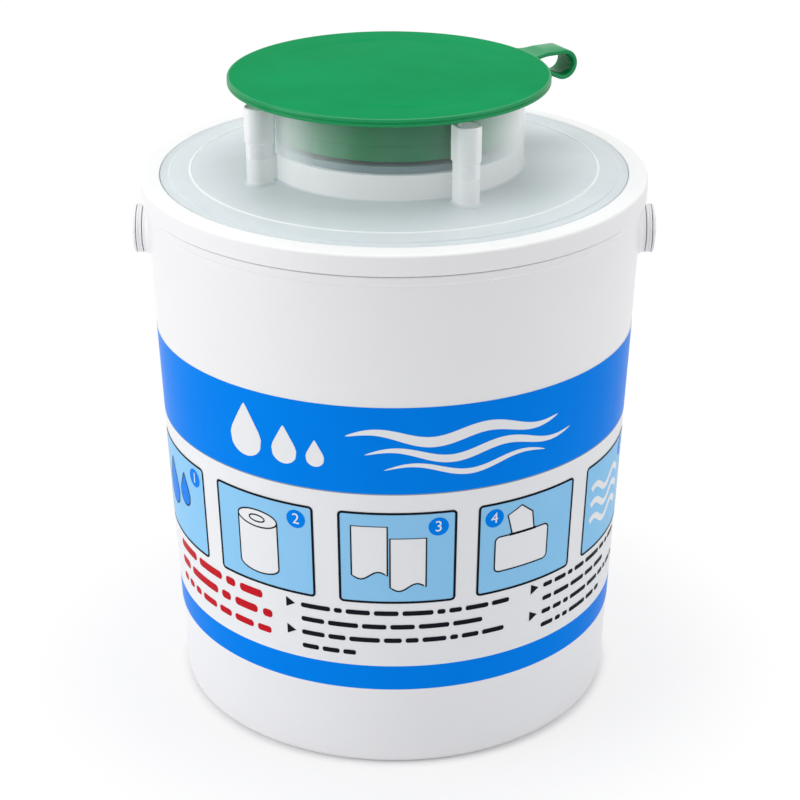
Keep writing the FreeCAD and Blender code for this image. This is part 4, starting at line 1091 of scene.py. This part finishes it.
def printed(name, shapes, finish, lift):
    """Wraps flat shapes, lists of (across, up) points, on the label as a thin skin of ink."""
    form = bmesh.new()
    for shape in shapes:
        if sum(a[0] * b[1] - b[0] * a[1] for a, b in zip(shape, shape[1:] + shape[:1])) < 0:
            shape = shape[::-1]
        form.faces.new([form.verts.new((across * MM, 0, up * MM)) for across, up in shape])
    spread = [vertex.co.x / MM for vertex in form.verts]
    for cut in np.arange(STRIP * math.ceil(min(spread) / STRIP), max(spread), STRIP):
        everything = form.verts[:] + form.edges[:] + form.faces[:]
        bmesh.ops.bisect_plane(form, geom=everything, plane_co=(cut * MM, 0, 0), plane_no=(1, 0, 0))
    bmesh.ops.remove_doubles(form, verts=form.verts, dist=1e-7)
    mesh = bpy.data.meshes.new(name)
    form.to_mesh(mesh)
    form.free()
    thing = placed(name, mesh)
    grown(thing, wrap, Foot_Radius=FOOT_R * MM, Slope=SLOPE, Turn_Per_Metre=1 / (ART_REACH * MM),
          Lift=(LABEL_OVER + lift) * MM)
    dressed(thickened(thing, INK_THICK, 1), finish, "pail", crease=30)


# %% Shapes for the print
def oval(across, up, radius, squash=1.0):
    return arc(across, up, radius, 0, math.tau, 29, squash)[:-1]


def block(across, up, wide, high, corner):
    """Rounded rectangle about its middle."""
    signs = ((-1, -1), (1, -1), (1, 1), (-1, 1))
    corners = [(across + x * wide / 2, up + y * high / 2, corner) for x, y in signs]
    return [tuple(point) for point in rounded(corners)]


def drop(across, foot, high):
    """A water drop standing on its foot: a round belly and a point at the top."""
    belly = high * 0.33
    round_foot = arc(across, foot + belly, belly, math.radians(205), math.radians(335), 17)
    sides = [(0.98, 0.37), (0.86, 0.50), (0.60, 0.66), (0.32, 0.83), (0.12, 0.95)]
    right = [(across + belly * out, foot + high * up) for out, up in sides]
    left = [(across - belly * out, foot + high * up) for out, up in reversed(sides)]
    return round_foot + right + [(across, foot + high)] + left


def stroke(points, width, closed=False):
    """Quads along a line; the width is a number or a function of the share along it."""
    points = [np.array(point, float) for point in points]
    count = len(points)
    sides = []
    for place, point in enumerate(points):
        after = points[(place + 1) % count] if closed or place < count - 1 else point
        before = points[place - 1] if closed or place else point
        run = (after - before) / max(np.linalg.norm(after - before), TINY)
        half = (width(place / (count - 1)) if callable(width) else width) / 2
        across = np.array((-run[1], run[0])) * max(half, 0.02)
        sides.append((tuple(point + across), tuple(point - across)))
    pairs = list(zip(sides, sides[1:] + sides[:1]))
    return [[a[0], a[1], b[1], b[0]] for a, b in (pairs if closed else pairs[:-1])]


def words(left, up, right, high, seed):
    """Bars as long as words, in place of a line of print."""
    chance = random.Random(seed)
    bars = []
    while left < right - 4:
        wide = min(chance.choice((5, 8, 11, 15, 19)) * high / 3.2, right - left)
        bars.append(block(left + wide / 2, up, wide, high, high * 0.42))
        left += wide + high * 0.75
    return bars


def digit(text, across, up, high):
    """A plain number, as filled faces of the built-in letter shapes."""
    letters = bpy.data.curves.new("digit", "FONT")
    letters.body = text
    letters.size = high
    letters.align_x = "CENTER"
    letters.align_y = "CENTER"
    holder = placed("digit", letters)
    mesh = bpy.data.meshes.new_from_object(holder.evaluated_get(bpy.context.evaluated_depsgraph_get()))
    shapes = [[(across + mesh.vertices[k].co.x, up + mesh.vertices[k].co.y) for k in face.vertices]
              for face in mesh.polygons]
    bpy.data.objects.remove(holder)
    return shapes


# %% The printed design
PANEL_UP = 106.5
PANEL_WIDE = 50.0
PANEL_HIGH = 43.8
PANEL_AT = (-121.5, -60.3, 1.5, 62, 123)
BADGE_AT = (17.5, 17.5, 17.5, -18, 17.5)
BADGE_UP = 15.0
ICONS = ("drops", "roll", "sheets", "box", "waves")
ICON_SCALE = 1.15
THIN = 0.6
white_shapes = [drop(-66, 146.5, 25), drop(-47, 147.5, 18), drop(-33, 148.5, 12.5)]
for foot, thick, start, end in ((164.5, 5.0, -20, 74), (156.2, 3.8, -12, 82), (149.2, 2.6, -4, 68)):
    wave = [(x, foot + 2.4 * math.sin((x - start) / 7.6)) for x in np.linspace(start, end, 90)]
    white_shapes += stroke(wave, lambda share, t=thick: t * math.sin(math.pi * share) ** 0.6)
panel_fills, blue_shapes, lines, digits, red_bars = [], [], [], [], []


def icon_rows(icon, at, up):
    """One panel's sign as rows of (shape, its fill, ink of its line, width of the line, closed)."""
    if icon == "drops":
        return [(drop(at + shift, up + foot, high), blue_shapes, lines, THIN, True)
                for shift, foot, high in ((-9, -9, 20), (5, -4, 14))]
    if icon == "roll":
        foot = arc(at - 2, up - 12, 9, math.pi, math.tau, 20, 0.4)
        rim, hole = (oval(at - 2, up + 8, radius, 0.4) for radius in (9, 3.5))
        return [(rim, white_shapes, lines, THIN, True), (hole, None, lines, THIN, True),
                ([(at - 11, up + 8)] + foot + [(at + 7, up + 8)], white_shapes, lines, THIN, False)]
    if icon == "sheets":
        curl = [(6.75 - 13.5 * s, 1.6 * math.sin(math.tau * s) - 10.5) for s in np.linspace(0, 1, 13)]
        return [([(at + shift + x, up + rise + y) for x, y in [(-6.75, 10.5), (6.75, 10.5)] + curl],
                 white_shapes, lines, THIN, True) for shift, rise in ((-10.5, 2), (4, -3))]
    if icon == "box":
        pulled = [(at + x, up + y) for x, y in ((-8, 4), (-10, 12), (-4, 15), (1, 11), (2, 4))]
        return [(block(at - 3, up - 4, 24, 15, 2), white_shapes, lines, THIN, True),
                ([(at - 9, up + 3.5), (at + 3, up + 3.5)], None, lines, 1.0, False),
                (pulled, white_shapes, lines, THIN, False)]
    return [([(at + x, up + rise + 2.2 * math.sin(x / 2.9)) for x in np.linspace(-17, 11, 44)],
             None, white_shapes, 2.6, False) for rise in (-8, -1, 6)]


for number, (at, badge, icon) in enumerate(zip(PANEL_AT, BADGE_AT, ICONS), start=1):
    panel_fills.append(block(at, PANEL_UP, PANEL_WIDE, PANEL_HIGH, 1.6))
    lines += stroke(panel_fills[-1], 1.1, closed=True)
    blue_shapes.append(oval(at + badge, PANEL_UP + BADGE_UP, 4.4))
    digits += digit(str(number), at + badge, PANEL_UP + BADGE_UP - 0.1, 7.2)
    for shape, fill, pen, width, closed in icon_rows(icon, at, PANEL_UP + 1):
        shape = [(at + ICON_SCALE * (x - at), PANEL_UP + ICON_SCALE * (y - PANEL_UP)) for x, y in shape]
        pen += stroke(shape, width * ICON_SCALE, closed)
        if fill is not None:
            fill.append(shape)
for row, (high, right) in enumerate(((4.0, -62), (4.0, -57), (3.36, -58))):
    red_bars += words(-128, 78.5 - 8.6 * row, right, high, row)
for left, foot, high, seed, ends in ((-42, 79.0, 2.3, 10, (53, 42, 51, -14)),
                                     (72, 80.0, 2.2, 20, (140, 128, 145, 120))):
    for row, right in enumerate(ends):
        lines += words(left, foot - 6.9 * row, right, high, seed + row)
for at, up in ((-47, 79.0), (-47, 65.2), (67, 80.0), (67, 66.2)):
    lines.append([(at - 2.3, up - 2.5), (at + 2.1, up), (at - 2.3, up + 2.5)])
for column, left in enumerate((-300, -235, 168, 233)):
    for row in range(11):
        right = left + (54, 44, 50, 36)[(row + column) % 4]
        lines += words(left, 124 - 6.2 * row, right, 2.0, 40 + 11 * column + row)
for name, shapes, finish, layer in (
        ("panels", panel_fills, panel_blue, 0.02), ("white", white_shapes, label_white, 0.05),
        ("blue", blue_shapes, label_blue, 0.08), ("lines", lines, line_ink, 0.11),
        ("numbers", digits, label_white, 0.14), ("red", red_bars, text_red, 0.05)):
    printed("print_" + name, shapes, finish, layer)

# %% [markdown]
# ## Studio
# The photograph is a product shot on white: large soft lights at both sides and above leave the
# middle of the wall a little greyer than its edges. White that only the camera, mirrors and clear
# plastic see comes from the world and the floor by their ray kind, so it doesn't light the object.
# Round the foot the floor keeps more of its own shade, which gives the thin contact line and a
# faint shadow.

# %% World and floor
scene = bpy.context.scene
scene.view_settings.view_transform = "Standard"
WORLD_LIGHT = 0.42
FLOOR_HALF = 12.0
FLOOR_DROP = 0.0002
FLOOR_TONE = (0.92, 0.92, 0.93, 1)
FLOOR_GLOW = 1.02
UNDER, NEAR, FAR = 0.15, 0.62, 0.99
CONTACT = (0.0995, 0.1045)
SHADE = (0.105, 0.22)


def seen_share(tree):
    """1 for the rays of the camera, of reflections and of transmitted light, and 0 for the others."""
    rays = add(tree, "ShaderNodeLightPath").outputs
    by_kind = [Value(tree, rays[f"Is {kind} Ray"]) for kind in ("Camera", "Glossy", "Transmission")]
    return (by_kind[0] + by_kind[1] + by_kind[2]).at_most(1.0)


world = bpy.data.worlds.new("studio")
scene.world = world
world.use_nodes = True
background = world.node_tree.nodes["Background"]
background.inputs["Color"].default_value = (1, 1, 1, 1)
strength = seen_share(world.node_tree) * (1 - WORLD_LIGHT) + WORLD_LIGHT
world.node_tree.links.new(strength.socket, background.inputs["Strength"])

floor_finish, on_floor = new_finish("floor_finish")
tree = floor_finish.node_tree
tree.nodes.remove(tree.nodes["Principled BSDF"])
from_axis = on_floor.off_axis()
white_share = UNDER + from_axis.step(*CONTACT) * (NEAR - UNDER) + from_axis.step(*SHADE) * (FAR - NEAR)
matt = add(tree, "ShaderNodeBsdfDiffuse", Color=FLOOR_TONE)
glow = add(tree, "ShaderNodeEmission", Strength=FLOOR_GLOW)
share = seen_share(tree) * white_share
surface(tree, add(tree, "ShaderNodeMixShader", sockets={0: share, 1: matt, 2: glow}))
floor_mesh = bpy.data.meshes.new("floor")
corners = [(x * FLOOR_HALF, y * FLOOR_HALF, -FLOOR_DROP) for x, y in ((-1, -1), (1, -1), (1, 1), (-1, 1))]
floor_mesh.from_pydata(corners, [], [(0, 1, 2, 3)])
floor_mesh.materials.append(floor_finish)
placed("floor", floor_mesh)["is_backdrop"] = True

# %% Lights
LIGHTS = {
    # name: place, aimed at, width, height, watts
    "left_softbox": ((-1.1, -0.42, 0.75), (0, 0, 0.14), 0.9, 1.3, 7.4),
    "right_softbox": ((1.1, -0.3, 0.75), (0, 0, 0.14), 0.9, 1.3, 3.8),
    "top_softbox": ((0.0, 0.25, 1.45), (0, 0, 0.25), 1.1, 1.1, 8.4),
    "front_fill": ((-0.5, -1.8, 0.35), (0, 0, 0.05), 1.2, 0.5, 0.5),
}
for name, (place, aim, wide, high, watts) in LIGHTS.items():
    lamp = bpy.data.lights.new(name, "AREA")
    lamp.shape = "RECTANGLE"
    lamp.size = wide
    lamp.size_y = high
    lamp.energy = watts
    holder = placed(name, lamp)
    holder.location = place
    holder.rotation_euler = (Vector(aim) - Vector(place)).to_track_quat("-Z", "Y").to_euler()
print("lights:", sorted(LIGHTS))

# %% Size, and the end
visual_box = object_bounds()
boxes = {"cad": [list(corner) for corner in cad_box], "visual": [list(corner) for corner in visual_box]}
for key, box in boxes.items():
    print(key, "reaches", [tuple(round(c, 4) for c in corner) for corner in box])
